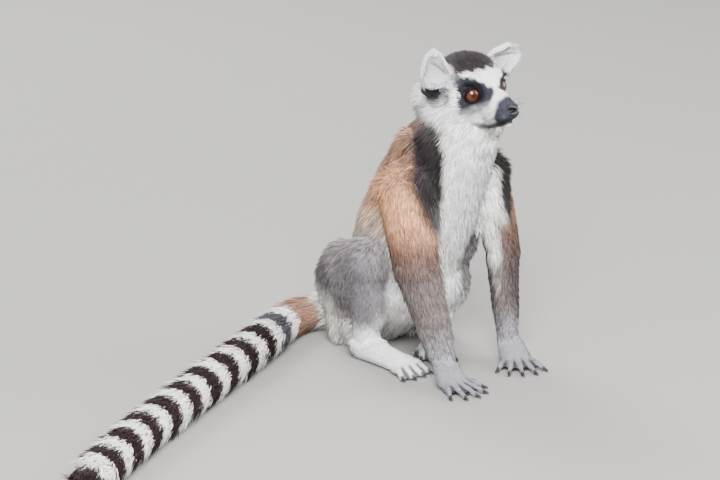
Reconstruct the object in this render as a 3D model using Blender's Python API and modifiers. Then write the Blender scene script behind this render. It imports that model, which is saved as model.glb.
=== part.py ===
"""Ring-tailed lemur, an adult, life size: a still model that sits on its haunches with both hands on the floor.

Run it with: blender --background --python part.py
Metres, +Z up. The animal faces -Y, and its left is +X. The origin is on the floor, under the rump.

The coat's outer surface is one closed skin: round lengths of body, each the hull of a few eggs,
are melted into one with a voxel Remesh. The eye sockets are then hollowed out, the underside is
cut flat at floor level, and thin cuts part the skin into the pieces that a person would name.
"""

import math

import bmesh
import bpy
from mathutils import Matrix, Vector

MM = 0.001

# Sizes, in millimetres. The floor cut takes this much off the skin's lowest points, to give the
# pads, the rump and the tail small flats at one level, which the parent then lowers to the floor.
# A wall's depth is how far a cut runs on past the cut that it ends in, and
# a loose piece of less than the chip volume, in cubic millimetres, is left out.
TAIL_LENGTH = 590.0
TAIL_THICKNESS = 44.0
EYE_RADIUS = 8.6
EYE_CLEARANCE = 0.8
FLOOR_CUT = 2.0
CUT_WIDTH = 0.6
WALL_DEPTH = 2.0
CHIP_VOLUME = 150.0

# How finely the skin is melted and how many triangles it keeps
VOXEL = 2.0
SMOOTHING = 10
SKIN_TRIANGLES = 4300
EGG_DETAIL = 3
TAIL_PARTS = 7

SIDES = {"right": -1.0, "left": 1.0}

# Each kind of part's linear colour, roughness and metallic value. The longest match of a name's
# beginning is used.
FINISHES = {
    "head": ((0.52, 0.48, 0.43), 0.8, 0.0),
    "nose": ((0.012, 0.011, 0.011), 0.35, 0.0),
    "eye": ((0.42, 0.11, 0.02), 0.08, 0.0),
    "ear": ((0.62, 0.58, 0.53), 0.8, 0.0),
    "neck": ((0.50, 0.46, 0.41), 0.8, 0.0),
    "chest": ((0.60, 0.55, 0.48), 0.8, 0.0),
    "belly": ((0.55, 0.50, 0.43), 0.8, 0.0),
    "rump": ((0.42, 0.37, 0.31), 0.8, 0.0),
    "upper_arm": ((0.36, 0.22, 0.12), 0.8, 0.0),
    "forearm": ((0.38, 0.32, 0.27), 0.8, 0.0),
    "hand": ((0.34, 0.31, 0.29), 0.8, 0.0),
    "leg": ((0.30, 0.26, 0.22), 0.8, 0.0),
    "tail": ((0.20, 0.18, 0.17), 0.8, 0.0),
}

FINGER_LENGTHS = (21, 28, 30, 30, 26)
TOE_LENGTHS = (27, 30, 31, 28)
BIG_TOE_LENGTH = 32


def at(left, front, up):
    """A place given as millimetres to the animal's left, to its front, and above the floor."""
    return Vector((left, -front, up)) * MM


# The head's own frame: its middle lies between the ears, and it turns a little to the animal's left.
HEAD_MIDDLE = at(2, 137, 301)
HEAD_TURN = math.radians(3.0)
HEAD_NOD = math.radians(0.0)
HEAD_LEAN = math.radians(-2.0)
HEAD_FRAME = (
    Matrix.Translation(HEAD_MIDDLE)
    @ Matrix.Rotation(HEAD_TURN, 4, "Z")
    @ Matrix.Rotation(HEAD_NOD, 4, "X")
    @ Matrix.Rotation(HEAD_LEAN, 4, "Y")
)


def on_head(left, front, up):
    """A place given in the head's own frame, in millimetres from the head's middle."""
    return HEAD_FRAME @ at(left, front, up)


def head_way(left, front, up):
    """A direction given in the head's own frame."""
    return (HEAD_FRAME.to_3x3() @ Vector((left, -front, up))).normalized()


# Joints of the legs, for the animal's left side. The right side mirrors them, with its own shifts.
SHOULDER = (50, 98, 202)
ELBOW = (60, 119, 122)
WRIST = (50, 142, 25)
PALM = (54, 159, 10)
HIP = (28, -12, 60)
HAM = (34, -11, 23)
KNEE = (56, 50, 112)
ANKLE = (50, 36, 27)
HEEL = (51, 30, 15)

HAND_SHIFT = {"right": (-7, 5, 0), "left": (6, -7, 0)}
HAND_TURN = {"right": 0.0, "left": -30.0}  # degrees about the wrist; negative turns the fingers inwards
FOOT_SHIFT = {"right": (4, 4, 0), "left": (0, 1, 0)}
FOOT_TURN = {"right": 0.0, "left": -40.0}
EYE = (18.5, 16.2, -2.0)
EYE_GAZE = (0.5, 0.86, 0.02)
HIP_BLADE_STEP = {"right": 26, "left": -6}
EAR_RIM = 4.0
EAR_CUP_SHIFT = 6.0
EAR_TIP = {"right": (52, 0, 46), "left": (61, 5, 31)}
EAR_MOUTH = {"right": (0.62, 0.78, 0.0), "left": (-0.25, 0.97, 0.0)}

# The cuts across the spine: a place, and the way up through it.
HEAD_PLANE = (at(0, 122, 257), at(0, 0.25, 1).normalized())
NECK_PLANE = (at(0, 108, 238), at(0, 0.55, 0.85).normalized())
CHEST_PLANE = (at(0, 66, 166), at(0, 0.4, 0.9).normalized())
BELLY_PLANE = (at(0, 26, 84), at(0, 0.62, 0.78).normalized())


def mirrored(place, side, shift=(0, 0, 0)):
    """A joint of the left side, moved by the shift and taken over to the side that is asked for."""
    left, front, up = (p + s for p, s in zip(place, shift))
    return at(left * SIDES[side], front, up)


def half_shift(shift):
    return tuple(0.5 * s for s in shift)


# ---------------------------------------------------------------- eggs and hulls


def egg(centre, half_broad, half_narrow, along, broad, half_along=None):
    """An ellipsoid as a matrix: half_broad across along broad, half_narrow across the other way."""
    along = along.normalized()
    broad = (broad - along * broad.dot(along)).normalized()
    narrow = along.cross(broad)
    reach = half_along or 0.5 * (half_broad + half_narrow)
    sizes = (broad * half_broad, narrow * half_narrow, along * reach)
    matrix = Matrix([list(s * MM) for s in sizes]).transposed().to_4x4()
    matrix.translation = centre
    return matrix


def ball(centre, radius):
    return Matrix.Translation(centre) @ Matrix.Scale(radius * MM, 4)


def add_hull(bm, eggs, detail=EGG_DETAIL):
    """Adds the convex hull of these eggs to bm, as one closed round-ended body."""
    hull = bmesh.new()
    for matrix in eggs:
        bmesh.ops.create_icosphere(hull, subdivisions=detail, radius=1.0, matrix=matrix)
    bmesh.ops.delete(hull, geom=hull.edges[:], context="EDGES_FACES")
    made = bmesh.ops.convex_hull(hull, input=hull.verts[:])
    spare = {v for v in made["geom_interior"] + made["geom_unused"] if isinstance(v, bmesh.types.BMVert)}
    bmesh.ops.delete(hull, geom=list(spare), context="VERTS")
    mesh = bpy.data.meshes.new("hull")
    hull.to_mesh(mesh)
    hull.free()
    bm.from_mesh(mesh)
    bpy.data.meshes.remove(mesh)


def add_limb(bm, eggs):
    """Adds a chain of hulls, one between each egg and the next."""
    for first, second in zip(eggs, eggs[1:]):
        add_hull(bm, [first, second])


def stations(places, sizes, broad):
    """Eggs at these places, each turned to follow the line through its neighbours."""
    eggs = []
    for i, (place, (half_broad, half_narrow)) in enumerate(zip(places, sizes)):
        before = places[max(i - 1, 0)]
        after = places[min(i + 1, len(places) - 1)]
        eggs.append(egg(place, half_broad, half_narrow, after - before, broad))
    return eggs


# ---------------------------------------------------------------- the body


def add_trunk(bm):
    """Rump, belly, ribs and neck, as eggs along the spine, broad from side to side."""
    places = [
        at(0, -5, 53),
        at(0, 36, 93),
        at(0, 52, 136),
        at(0, 74, 178),
        at(0, 93, 212),
        at(0, 111, 240),
        at(0, 123, 264),
    ]
    sizes = [(50, 53), (56, 61), (56, 61), (56, 57), (52, 51), (45, 45), (40, 41)]
    belly = egg(at(0, 70, 84), 46, 34, Vector((0, -0.5, 1)), Vector((1, 0, 0)), 34)
    add_hull(bm, [belly, egg(places[2], 50, 50, Vector((0, 0, 1)), Vector((1, 0, 0)))])
    add_limb(bm, stations(places, sizes, Vector((1, 0, 0))))


def add_head(bm):
    """Skull, brow, cheeks, muzzle, chin and lower jaw, in the head's own frame."""
    up = head_way(0, 0, 1)
    ahead = head_way(0, 1, 0)
    across = head_way(1, 0, 0)
    skull = egg(on_head(0, -8, 3), 34, 30, ahead, across, 36)
    forehead = egg(on_head(0, 13, 7), 24, 18, ahead, across, 17)
    face = egg(on_head(0, 18, -9), 20, 18, ahead, across, 18)
    nape = egg(on_head(0, -25, -20), 38, 37, up, across)
    throat = egg(on_head(0, 10, -40), 24, 20, ahead, across, 22)
    add_hull(bm, [skull, forehead, face])
    add_hull(bm, [nape, throat, egg(at(0, 122, 250), 36, 36, up, across)])
    add_hull(bm, [skull, nape, egg(at(0, 122, 268), 36, 36, up, across)])

    muzzle = [
        egg(on_head(0, 26, -11), 19, 17, ahead, across, 12),
        egg(on_head(0, 41, -14.5), 13, 13, ahead, across, 10),
        egg(on_head(0, 52, -16), 9.5, 9.5, ahead, across, 8),
    ]
    add_limb(bm, muzzle)
    jaw = [
        egg(on_head(0, 12, -27), 21, 14, ahead, across, 15),
        egg(on_head(0, 35, -27), 12, 8, ahead, across, 9),
        egg(on_head(0, 48.5, -25.5), 8, 6.5, ahead, across, 6),
    ]
    add_limb(bm, jaw)
    for sign in SIDES.values():
        cheek = egg(on_head(22 * sign, -12, -22), 24, 25, up, across, 24)
        brow = egg(on_head(14 * sign, 17, 9), 11, 8, ahead, across, 10)
        add_hull(bm, [cheek, skull])
        add_hull(bm, [cheek, face])
        add_hull(bm, [brow, forehead])


def nose_eggs():
    """The bare nose pad on the end of the muzzle."""
    ahead = head_way(0, 1, 0)
    across = head_way(1, 0, 0)
    return [
        egg(on_head(0, 54, -13.5), 6.8, 6.4, ahead, across, 6),
        egg(on_head(0, 58, -13.5), 5.4, 5, ahead, across, 4),
    ]


def ear_eggs(side, shrink=0.0, forward=0.0):
    """Root, blade and tip of a pinna. shrink thins it and forward moves it out of its mouth."""
    sign = SIDES[side]
    tip = Vector(EAR_TIP[side])
    root = Vector((36, -14, 2))
    mouth = head_way(EAR_MOUTH[side][0] * sign, *EAR_MOUTH[side][1:])
    rise = on_head(tip.x * sign, tip.y, tip.z) - on_head(root.x * sign, root.y, root.z)
    broad = rise.cross(mouth)
    sizes = ((0.0, 16, 12), (0.35, 18, 10), (0.7, 14.5, 7), (0.93, 7.5, 4))
    eggs = []
    for share, half_broad, half_deep in sizes:
        spot = root.lerp(tip, share)
        place = on_head(spot.x * sign, spot.y, spot.z) + mouth * forward * MM
        eggs.append(egg(place, half_broad - shrink, max(half_deep - 0.4 * shrink, 1.5), rise, broad))
    return eggs


def add_arm(bm, side):
    """Shoulder to wrist. The fore-arm is a flat oval whose broad way runs forward and inward."""
    sign = SIDES[side]
    shift = HAND_SHIFT[side]
    shoulder = mirrored(SHOULDER, side)
    elbow = mirrored(ELBOW, side, half_shift(shift))
    wrist = mirrored(WRIST, side, shift)
    broad = Vector((-0.5 * sign, -0.87, 0))
    places = [
        shoulder,
        shoulder.lerp(elbow, 0.55),
        elbow,
        elbow.lerp(wrist, 0.35),
        elbow.lerp(wrist, 0.7),
        wrist,
    ]
    sizes = [(32, 25), (29, 22), (26, 18), (22, 15.5), (18, 13), (13.5, 11)]
    add_limb(bm, stations(places, sizes, broad))


def add_digit(bm, root, heading, length, thickness):
    """A finger or toe that arches from its root and ends in a round pad on the floor."""
    along = Vector((math.sin(heading), -math.cos(heading), 0))
    lift = Vector((0, 0, 1))
    knuckle = root + along * 0.45 * length * MM + lift * 1.5 * MM
    tip = root + along * length * MM
    tip.z = 0.8 * thickness * MM
    eggs = [ball(root, 1.15 * thickness), ball(knuckle, thickness), ball(tip, 1.05 * thickness)]
    add_limb(bm, eggs)


def add_hand(bm, side):
    """Palm and five digits, spread flat on the floor."""
    sign = SIDES[side]
    shift = HAND_SHIFT[side]
    swing = Matrix.Rotation(math.radians(HAND_TURN[side]) * sign, 3, "Z")
    wrist = mirrored(WRIST, side, shift)
    palm = wrist + swing @ (mirrored(PALM, side, shift) - wrist)
    add_hull(bm, [ball(wrist, 12), egg(palm, 17, 9, swing @ Vector((0, -1, 0)), swing @ Vector((1, 0, 0)), 14)])
    for i, length in enumerate(FINGER_LENGTHS):
        spread = i / (len(FINGER_LENGTHS) - 1)
        heading = math.radians(-30 + 58 * spread + HAND_TURN[side])
        root = palm + swing @ (Vector((sign * (-13 + 26 * spread), -(9 - 18 * (spread - 0.5) ** 2), -3)) * MM)
        add_digit(bm, root, sign * heading, length, 4.2)


def add_leg(bm, side):
    """Thigh and shank of a folded leg, down to the heel."""
    sign = SIDES[side]
    shift = FOOT_SHIFT[side]
    hip = mirrored(HIP, side)
    knee = mirrored(KNEE, side)
    ankle = mirrored(ANKLE, side, shift)
    broad = Vector((0, 0.8, 0.6))
    thigh = [hip, hip.lerp(knee, 0.45) + Vector((0.006 * sign, 0, 0)), knee]
    add_limb(bm, stations(thigh, [(47, 36), (44, 30), (27, 24)], broad))
    ham = mirrored(HAM, side)
    add_hull(bm, [ball(ham, 24), egg(hip, 40, 33, thigh[1] - thigh[0], broad)])
    shank = [knee, knee.lerp(ankle, 0.45), knee.lerp(ankle, 0.8), ankle]
    add_limb(bm, stations(shank, [(24, 22), (23, 20), (18, 17), (15, 14)], Vector((0, -1, 0.2))))


def add_foot(bm, side):
    """A long narrow foot with its heel on the floor, a thumb-like big toe and four long toes."""
    sign = SIDES[side]
    shift = FOOT_SHIFT[side]
    ankle = mirrored(ANKLE, side, shift)
    heel = mirrored(HEEL, side, shift)
    turn = math.radians(FOOT_TURN[side])

    def along_foot(outward, forward, up):
        """A place given from the heel: outward and forward in the foot's own frame, up from the floor."""
        swing = Matrix.Rotation(turn * sign, 3, "Z")
        place = heel + swing @ (Vector((outward * sign, -forward, 0)) * MM)
        place.z = up * MM
        return place

    across = along_foot(1, 0, 0) - along_foot(0, 0, 0)
    down_the_foot = along_foot(0, 1, 0) - along_foot(0, 0, 0)
    instep = along_foot(-1, 28, 13)
    ball_of_foot = along_foot(-3, 54, 10)
    eggs = [
        egg(heel, 14, 15, down_the_foot, across, 14),
        egg(instep, 14, 12, down_the_foot, across, 14),
        egg(ball_of_foot, 15, 9, down_the_foot, across, 10),
    ]
    add_limb(bm, eggs)
    add_hull(bm, [ball(ankle, 14), eggs[0]])
    add_hull(bm, [ball(ankle, 13), eggs[1]])
    for i, length in enumerate(TOE_LENGTHS):
        spread = i / (len(TOE_LENGTHS) - 1)
        heading = sign * (math.radians(-10 + 30 * spread) + turn)
        add_digit(bm, along_foot(-14 + 22 * spread, 59, 8), heading, length, 4.6)
    heading = sign * (math.radians(-18) + turn)
    add_digit(bm, along_foot(-13, 40, 9), heading, BIG_TOE_LENGTH, 5.6)


def tail_line():
    """Points along the tail's middle, by its heading at each share of its length."""
    headings = ((0.0, -50), (0.04, -25), (0.09, -2), (0.13, 18), (0.18, 30), (0.4, 28), (0.7, 29), (1.0, 36))
    count = 60
    step = TAIL_LENGTH / count
    left, front = 0.0, -40.0
    points = []
    for i in range(count + 1):
        share = i / count
        drop = max(0.0, 1 - share / 0.16) ** 2
        points.append(at(left, front, 0.5 * TAIL_THICKNESS - 1 + 8 * drop))
        for (s0, h0), (s1, h1) in zip(headings, headings[1:]):
            if s0 <= share <= s1:
                mix = (share - s0) / (s1 - s0)
                heading = math.radians(h0 + (h1 - h0) * mix)
        left -= step * math.cos(heading)
        front += step * math.sin(heading)
    return points


def tail_radius(share):
    """Half the tail's thickness: narrow at the root, fullest past the middle, round at the tip."""
    full = 0.5 * TAIL_THICKNESS
    root = 0.86 + 0.14 * min(1.0, share / 0.3)
    tip = math.sqrt(max(0.05, 1 - max(0.0, (share - 0.93) / 0.07) ** 2))
    return full * root * tip


def add_tail(bm):
    points = tail_line()
    eggs = [ball(p, tail_radius(i / (len(points) - 1))) for i, p in enumerate(points)]
    add_limb(bm, eggs[::2])


def whole_skin(collection):
    """The melted coat surface of the whole animal, as one object with live modifiers."""
    bm = bmesh.new()
    add_trunk(bm)
    add_head(bm)
    add_hull(bm, nose_eggs())
    for side in SIDES:
        add_limb(bm, ear_eggs(side))
        add_arm(bm, side)
        add_hand(bm, side)
        add_leg(bm, side)
        add_foot(bm, side)
    add_tail(bm)
    coat = new_object("coat", bm, collection)
    remesh = coat.modifiers.new("melt", "REMESH")
    remesh.mode = "VOXEL"
    remesh.voxel_size = VOXEL * MM
    smooth = coat.modifiers.new("smooth", "SMOOTH")
    smooth.factor = 0.5
    smooth.iterations = SMOOTHING
    triangles = 2 * len(evaluated_mesh(coat).polygons)
    fewer = coat.modifiers.new("fewer_faces", "DECIMATE")
    fewer.ratio = SKIN_TRIANGLES / triangles
    return coat


# ---------------------------------------------------------------- the cuts


def new_object(name, bm, collection):
    """Makes an object of this mesh in the collection, and frees the bmesh."""
    mesh = bpy.data.meshes.new(name)
    bm.to_mesh(mesh)
    bm.free()
    obj = bpy.data.objects.new(name, mesh)
    collection.objects.link(obj)
    return obj


def evaluated_mesh(obj):
    """A copy of the object's mesh with its modifiers applied."""
    graph = bpy.context.evaluated_depsgraph_get()
    graph.update()
    return bpy.data.meshes.new_from_object(obj.evaluated_get(graph))


def hide_cutter(obj):
    obj.hide_render = True
    obj.display_type = "WIRE"


def ring_outline(radius):
    """A round outline for a blade, in millimetres."""
    turns = [math.tau * i / 28 for i in range(28)]
    return [(radius * math.cos(t), radius * math.sin(t)) for t in turns]


def plate_outline(half_across, low, high):
    """A four-sided outline for a blade: its half width, and its lower and upper edges."""
    return [(-half_across, low), (half_across, low), (half_across, high), (-half_across, high)]


def clipped(outline, place, across, rise, wall):
    """The outline without what lies past a wall, which is a place and the way out through it."""
    wall_place, outward = wall

    def depth(corner):
        spot = place + (across * corner[0] + rise * corner[1]) * MM
        return outward.dot(wall_place - spot) + WALL_DEPTH * MM

    kept = []
    for i, corner in enumerate(outline):
        before = outline[i - 1]
        d0, d1 = depth(before), depth(corner)
        if (d0 > 0) != (d1 > 0):
            share = d0 / (d0 - d1)
            kept.append(tuple(p + (q - p) * share for p, q in zip(before, corner)))
        if d1 > 0:
            kept.append(corner)
    return kept


def add_blade(cutters, name, plane, outline, upward=Vector((0, 0, 1)), walls=()):
    """A blade as thick as a cut, in a plane: a place and a normal. Its outline is (across, upward)
    from that place, and it ends in the middle of the cuts that are its walls."""
    place, normal = plane
    normal = normal.normalized()
    across = upward.cross(normal).normalized()
    rise = normal.cross(across)
    for wall in walls:
        outline = clipped(outline, place, across, rise, wall)
    bm = bmesh.new()
    corners = [place + (across * a + rise * b) * MM - normal * 0.5 * CUT_WIDTH * MM for a, b in outline]
    face = bm.faces.new([bm.verts.new(corner) for corner in corners])
    grown = bmesh.ops.extrude_face_region(bm, geom=[face])
    lifted = [v for v in grown["geom"] if isinstance(v, bmesh.types.BMVert)]
    bmesh.ops.translate(bm, verts=lifted, vec=normal * CUT_WIDTH * MM)
    bmesh.ops.recalc_face_normals(bm, faces=bm.faces[:])
    hide_cutter(new_object(name, bm, cutters))


def turned_round(plane):
    """The same plane, with its normal the other way."""
    return plane[0], -plane[1]


def shoulder_plane(side):
    sign = SIDES[side]
    return at(44 * sign, 101, 185), Vector((0.85 * sign, -0.5, -0.1))


def hip_plane(side):
    sign = SIDES[side]
    return at(46 * sign, 40, 90), Vector((0.95 * sign, 0.2, -0.22))


def eye_centre(side):
    return on_head(EYE[0] * SIDES[side], EYE[1], EYE[2])


def eye_gaze(side):
    return head_way(EYE_GAZE[0] * SIDES[side], EYE_GAZE[1], EYE_GAZE[2])


def add_hollows(cutters):
    """The floor below, the two eye sockets and the mouths of the two ears."""
    bm = bmesh.new()
    middle = Matrix.Translation((0, 0, FLOOR_CUT * MM - 1.0))
    bmesh.ops.create_cube(bm, size=2.0, matrix=middle)
    hide_cutter(new_object("floor_cutter", bm, cutters))
    for side in SIDES:
        bm = bmesh.new()
        radius = (EYE_RADIUS + EYE_CLEARANCE) * MM
        middle = Matrix.Translation(eye_centre(side))
        bmesh.ops.create_icosphere(bm, subdivisions=2, radius=radius, matrix=middle)
        hide_cutter(new_object("socket_cutter_" + side, bm, cutters))
        bm = bmesh.new()
        add_hull(bm, ear_eggs(side, shrink=EAR_RIM, forward=EAR_CUP_SHIFT)[1:], detail=2)
        hide_cutter(new_object("ear_cutter_" + side, bm, cutters))


def add_trunk_blades(cutters):
    """Cuts across the spine: head from neck, neck from chest, chest from belly, belly from rump."""
    forward = at(0, 1, 0)
    shoulders = [shoulder_plane(side) for side in SIDES]
    hips = [hip_plane(side) for side in SIDES]
    add_blade(cutters, "head_blade", HEAD_PLANE, plate_outline(70, -70, 70), forward)
    add_blade(cutters, "neck_blade", NECK_PLANE, plate_outline(62, -62, 62), forward)
    add_blade(cutters, "chest_blade", CHEST_PLANE, plate_outline(62, -75, 75), forward, shoulders)
    add_blade(cutters, "belly_blade", BELLY_PLANE, plate_outline(62, -82, 72), forward, hips)


def add_ear_and_nose_blades(cutters):
    for side, sign in SIDES.items():
        plane = (on_head(34 * sign, -9, 5), head_way(0.9 * sign, -0.05, 0.42))
        add_blade(cutters, "ear_blade_" + side, plane, ring_outline(28))
    plane = (on_head(0, 55.5, -13), head_way(0, 0.85, 0.5))
    add_blade(cutters, "nose_blade", plane, ring_outline(13))


def add_arm_blades(cutters, side):
    sign = SIDES[side]
    shift = HAND_SHIFT[side]
    shoulder = mirrored(SHOULDER, side)
    elbow = mirrored(ELBOW, side, half_shift(shift))
    wrist = mirrored(WRIST, side, shift)
    forward = at(0, 1, 0)
    outline = [(66, 75), (66, -20), (24, -72), (-66, -72), (-66, 75)]
    outline = [(a * sign, b) for a, b in outline]
    add_blade(cutters, "shoulder_blade_" + side, shoulder_plane(side), outline, walls=[NECK_PLANE])
    bend = (elbow - shoulder).normalized() + (wrist - elbow).normalized()
    add_blade(cutters, "elbow_blade_" + side, (elbow, bend), ring_outline(31), forward)
    plane = (wrist.lerp(elbow, 0.08), elbow - wrist)
    add_blade(cutters, "wrist_blade_" + side, plane, ring_outline(21), forward)


def add_hip_blade(cutters, side):
    sign = SIDES[side]
    step = HIP_BLADE_STEP[side]
    outline = [(-140, -97), (step, -97), (step + 2, -66), (75, -66), (75, 62), (-140, 62)]
    outline = [(a * -sign, b) for a, b in outline]
    add_blade(cutters, "hip_blade_" + side, hip_plane(side), outline)


def along_tail(length):
    """The tail's middle point and heading at this length from its root, in millimetres."""
    points = tail_line()
    spot = length / TAIL_LENGTH * (len(points) - 1)
    i = min(int(spot), len(points) - 2)
    return points[i].lerp(points[i + 1], spot - i), points[i + 1] - points[i]


def add_tail_blades(cutters):
    """A cut beside the tail's root, where it leaves the ham, and cuts at even lengths along it."""
    plane = (at(-28, -39, 24), at(-0.15, 0.9, 0.45).normalized())
    outer = [turned_round(hip_plane("right"))]
    add_blade(cutters, "tail_root_blade", plane, plate_outline(36, -28, 42), walls=outer)
    for i in range(1, TAIL_PARTS):
        place, heading = along_tail(TAIL_LENGTH * i / TAIL_PARTS)
        outline = ring_outline(0.5 * TAIL_THICKNESS + 3)
        add_blade(cutters, "tail_blade_%d" % i, (place, heading), outline)


# ---------------------------------------------------------------- the named parts


def node_seeds():
    """Each part's name and a point near its middle."""
    seeds = {
        "head": on_head(0, 2, -8),
        "nose": on_head(0, 60, -13),
        "neck": at(0, 113, 247),
        "chest": at(0, 84, 200),
        "belly": at(0, 48, 126),
        "rump": at(0, 5, 55),
    }
    for side, sign in SIDES.items():
        shift = HAND_SHIFT[side]
        elbow = mirrored(ELBOW, side, half_shift(shift))
        seeds["ear_" + side] = on_head(44 * sign, -7, 25)
        seeds["upper_arm_" + side] = mirrored(SHOULDER, side).lerp(elbow, 0.5)
        seeds["forearm_" + side] = elbow.lerp(mirrored(WRIST, side, shift), 0.45)
        seeds["hand_" + side] = mirrored(PALM, side, shift)
        seeds["leg_" + side] = at(54 * sign, 15, 60)
    for i in range(TAIL_PARTS):
        seeds["tail_%d" % (i + 1)] = along_tail(TAIL_LENGTH * (i + 0.5) / TAIL_PARTS)[0]
    return seeds


def loose_parts(mesh):
    """Splits a mesh into one bmesh for each of its closed pieces, with each piece's volume in mm3."""
    bm = bmesh.new()
    bm.from_mesh(mesh)
    waiting = set(bm.verts)
    pieces = []
    while waiting:
        stack = [waiting.pop()]
        island = set(stack)
        while stack:
            for edge in stack.pop().link_edges:
                for vert in edge.verts:
                    if vert not in island:
                        island.add(vert)
                        stack.append(vert)
        waiting -= island
        pieces.append(island)
    made = []
    for island in pieces:
        part = bmesh.new()
        order = {vert: part.verts.new(vert.co) for vert in bm.verts if vert in island}
        for face in bm.faces:
            if face.verts[0] in island:
                part.faces.new([order[vert] for vert in face.verts])
        bmesh.ops.triangulate(part, faces=part.faces[:])
        made.append((part, part.calc_volume(signed=False) / MM**3))
    bm.free()
    return made


def centre_of(bm):
    """The middle of a closed piece, by the area of its faces."""
    total = sum(face.calc_area() for face in bm.faces)
    middle = Vector()
    for face in bm.faces:
        middle += face.calc_center_median() * (face.calc_area() / total)
    return middle


def make_eye(side):
    """An eyeball with its front pole turned the way the eye looks."""
    bm = bmesh.new()
    turn = eye_gaze(side).to_track_quat("Z", "Y").to_matrix().to_4x4()
    frame = Matrix.Translation(eye_centre(side)) @ turn
    bmesh.ops.create_uvsphere(bm, u_segments=16, v_segments=10, radius=EYE_RADIUS * MM, matrix=frame)
    return bm


def finish_for(name):
    """The colour, roughness and metallic value of a part: its own, or that of its kind."""
    kind = max((k for k in FINISHES if name.startswith(k)), key=len)
    return FINISHES[kind]


def make_material(name):
    colour, roughness, metallic = finish_for(name)
    material = bpy.data.materials.new(name + "_finish")
    material.use_nodes = True
    shader = material.node_tree.nodes["Principled BSDF"]
    shader.inputs["Base Color"].default_value = (*colour, 1.0)
    shader.inputs["Roughness"].default_value = roughness
    shader.inputs["Metallic"].default_value = metallic
    return material


def place_part(name, bm, middle, collection, parent):
    """A named object with its origin at its middle, shaded smooth up to its cut edges."""
    bmesh.ops.translate(bm, verts=bm.verts[:], vec=-middle)
    obj = new_object(name, bm, collection)
    obj.data.materials.append(make_material(name))
    obj.data.shade_smooth()
    obj.data.set_sharp_from_angle(angle=math.radians(50))
    obj.parent = parent
    obj.location = middle


def cut_whole(collection, cutters):
    """The whole skin with the eye sockets, ear cups and all cuts taken out of it."""
    whole = whole_skin(collection)
    add_hollows(cutters)
    add_trunk_blades(cutters)
    add_ear_and_nose_blades(cutters)
    for side in SIDES:
        add_arm_blades(cutters, side)
        add_hip_blade(cutters, side)
    add_tail_blades(cutters)
    for cutter in cutters.objects:
        cut = whole.modifiers.new(cutter.name, "BOOLEAN")
        cut.operation = "DIFFERENCE"
        cut.solver = "EXACT"
        cut.object = cutter
    parted = evaluated_mesh(whole)
    bpy.data.objects.remove(whole)
    return parted


def main():
    for obj in list(bpy.data.objects):
        bpy.data.objects.remove(obj)
    cutters = bpy.data.collections.new("cutters")
    body = bpy.data.collections.new("ring_tailed_lemur")
    for collection in (cutters, body):
        bpy.context.scene.collection.children.link(collection)
    parent = bpy.data.objects.new("lemur", None)
    parent.location = at(0, 0, -FLOOR_CUT)
    body.objects.link(parent)
    unnamed = node_seeds()
    pieces = loose_parts(cut_whole(body, cutters))
    for bm, volume in sorted(pieces, key=lambda piece: -piece[1]):
        if volume > CHIP_VOLUME:
            middle = centre_of(bm)
            name = min(unnamed, key=lambda seed: (unnamed[seed] - middle).length)
            del unnamed[name]
            place_part(name, bm, middle, body, parent)
    for side in SIDES:
        place_part("eye_" + side, make_eye(side), eye_centre(side), body, parent)


if __name__ == "__main__":
    main()
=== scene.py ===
"""Ring-tailed lemur, an adult, life size: one skin under a coat of modelled tufts, with its eyes,
lids, nose pad, claws and whiskers, on a pale studio floor.

Metres, +Z up. The animal faces -Y, and its left is +X.
"""

import math

import bmesh
import bpy
import numpy as np
from bpy.props import FloatProperty, FloatVectorProperty, IntProperty, PointerProperty
from mathutils import Matrix, Vector


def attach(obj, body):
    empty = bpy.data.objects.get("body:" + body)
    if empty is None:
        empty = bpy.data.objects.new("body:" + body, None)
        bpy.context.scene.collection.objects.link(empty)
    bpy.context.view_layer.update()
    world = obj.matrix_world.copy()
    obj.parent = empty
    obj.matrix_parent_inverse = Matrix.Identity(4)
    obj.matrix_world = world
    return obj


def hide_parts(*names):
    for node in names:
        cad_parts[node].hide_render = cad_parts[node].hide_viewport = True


bl_info = {
    "name": "Ring-tailed lemur",
    "version": (1, 0, 0),
    "blender": (4, 5, 0),
    "location": "View3D > Sidebar > Lemur",
    "description": "Dresses a solid lemur with skin, coat, eyes, nose, claws and whiskers",
    "category": "Object",
}

MM = 0.001
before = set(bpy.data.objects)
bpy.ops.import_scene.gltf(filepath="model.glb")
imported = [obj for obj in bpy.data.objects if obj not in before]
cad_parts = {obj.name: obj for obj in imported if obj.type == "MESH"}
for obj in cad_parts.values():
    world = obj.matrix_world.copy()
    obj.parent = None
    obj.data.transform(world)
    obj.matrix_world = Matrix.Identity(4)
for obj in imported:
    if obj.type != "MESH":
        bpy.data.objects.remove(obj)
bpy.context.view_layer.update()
FLESH = [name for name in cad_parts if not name.startswith(("eye", "nose"))]
SIDES = {"right": -1.0, "left": 1.0}
DROP = 2.0  # how far the solids stand below the heights that the landmarks give, in millimetres


# ---------------------------------------------------------------- landmarks of the body


def at(left, front, up):
    """A place given as millimetres to the animal's left, to its front, and above its soles."""
    return Vector((left, -front, up - DROP)) * MM


HEAD_FRAME = (
    Matrix.Translation(at(2, 137, 301))
    @ Matrix.Rotation(math.radians(3.0), 4, "Z")
    @ Matrix.Rotation(math.radians(-2.0), 4, "Y")
)

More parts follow.
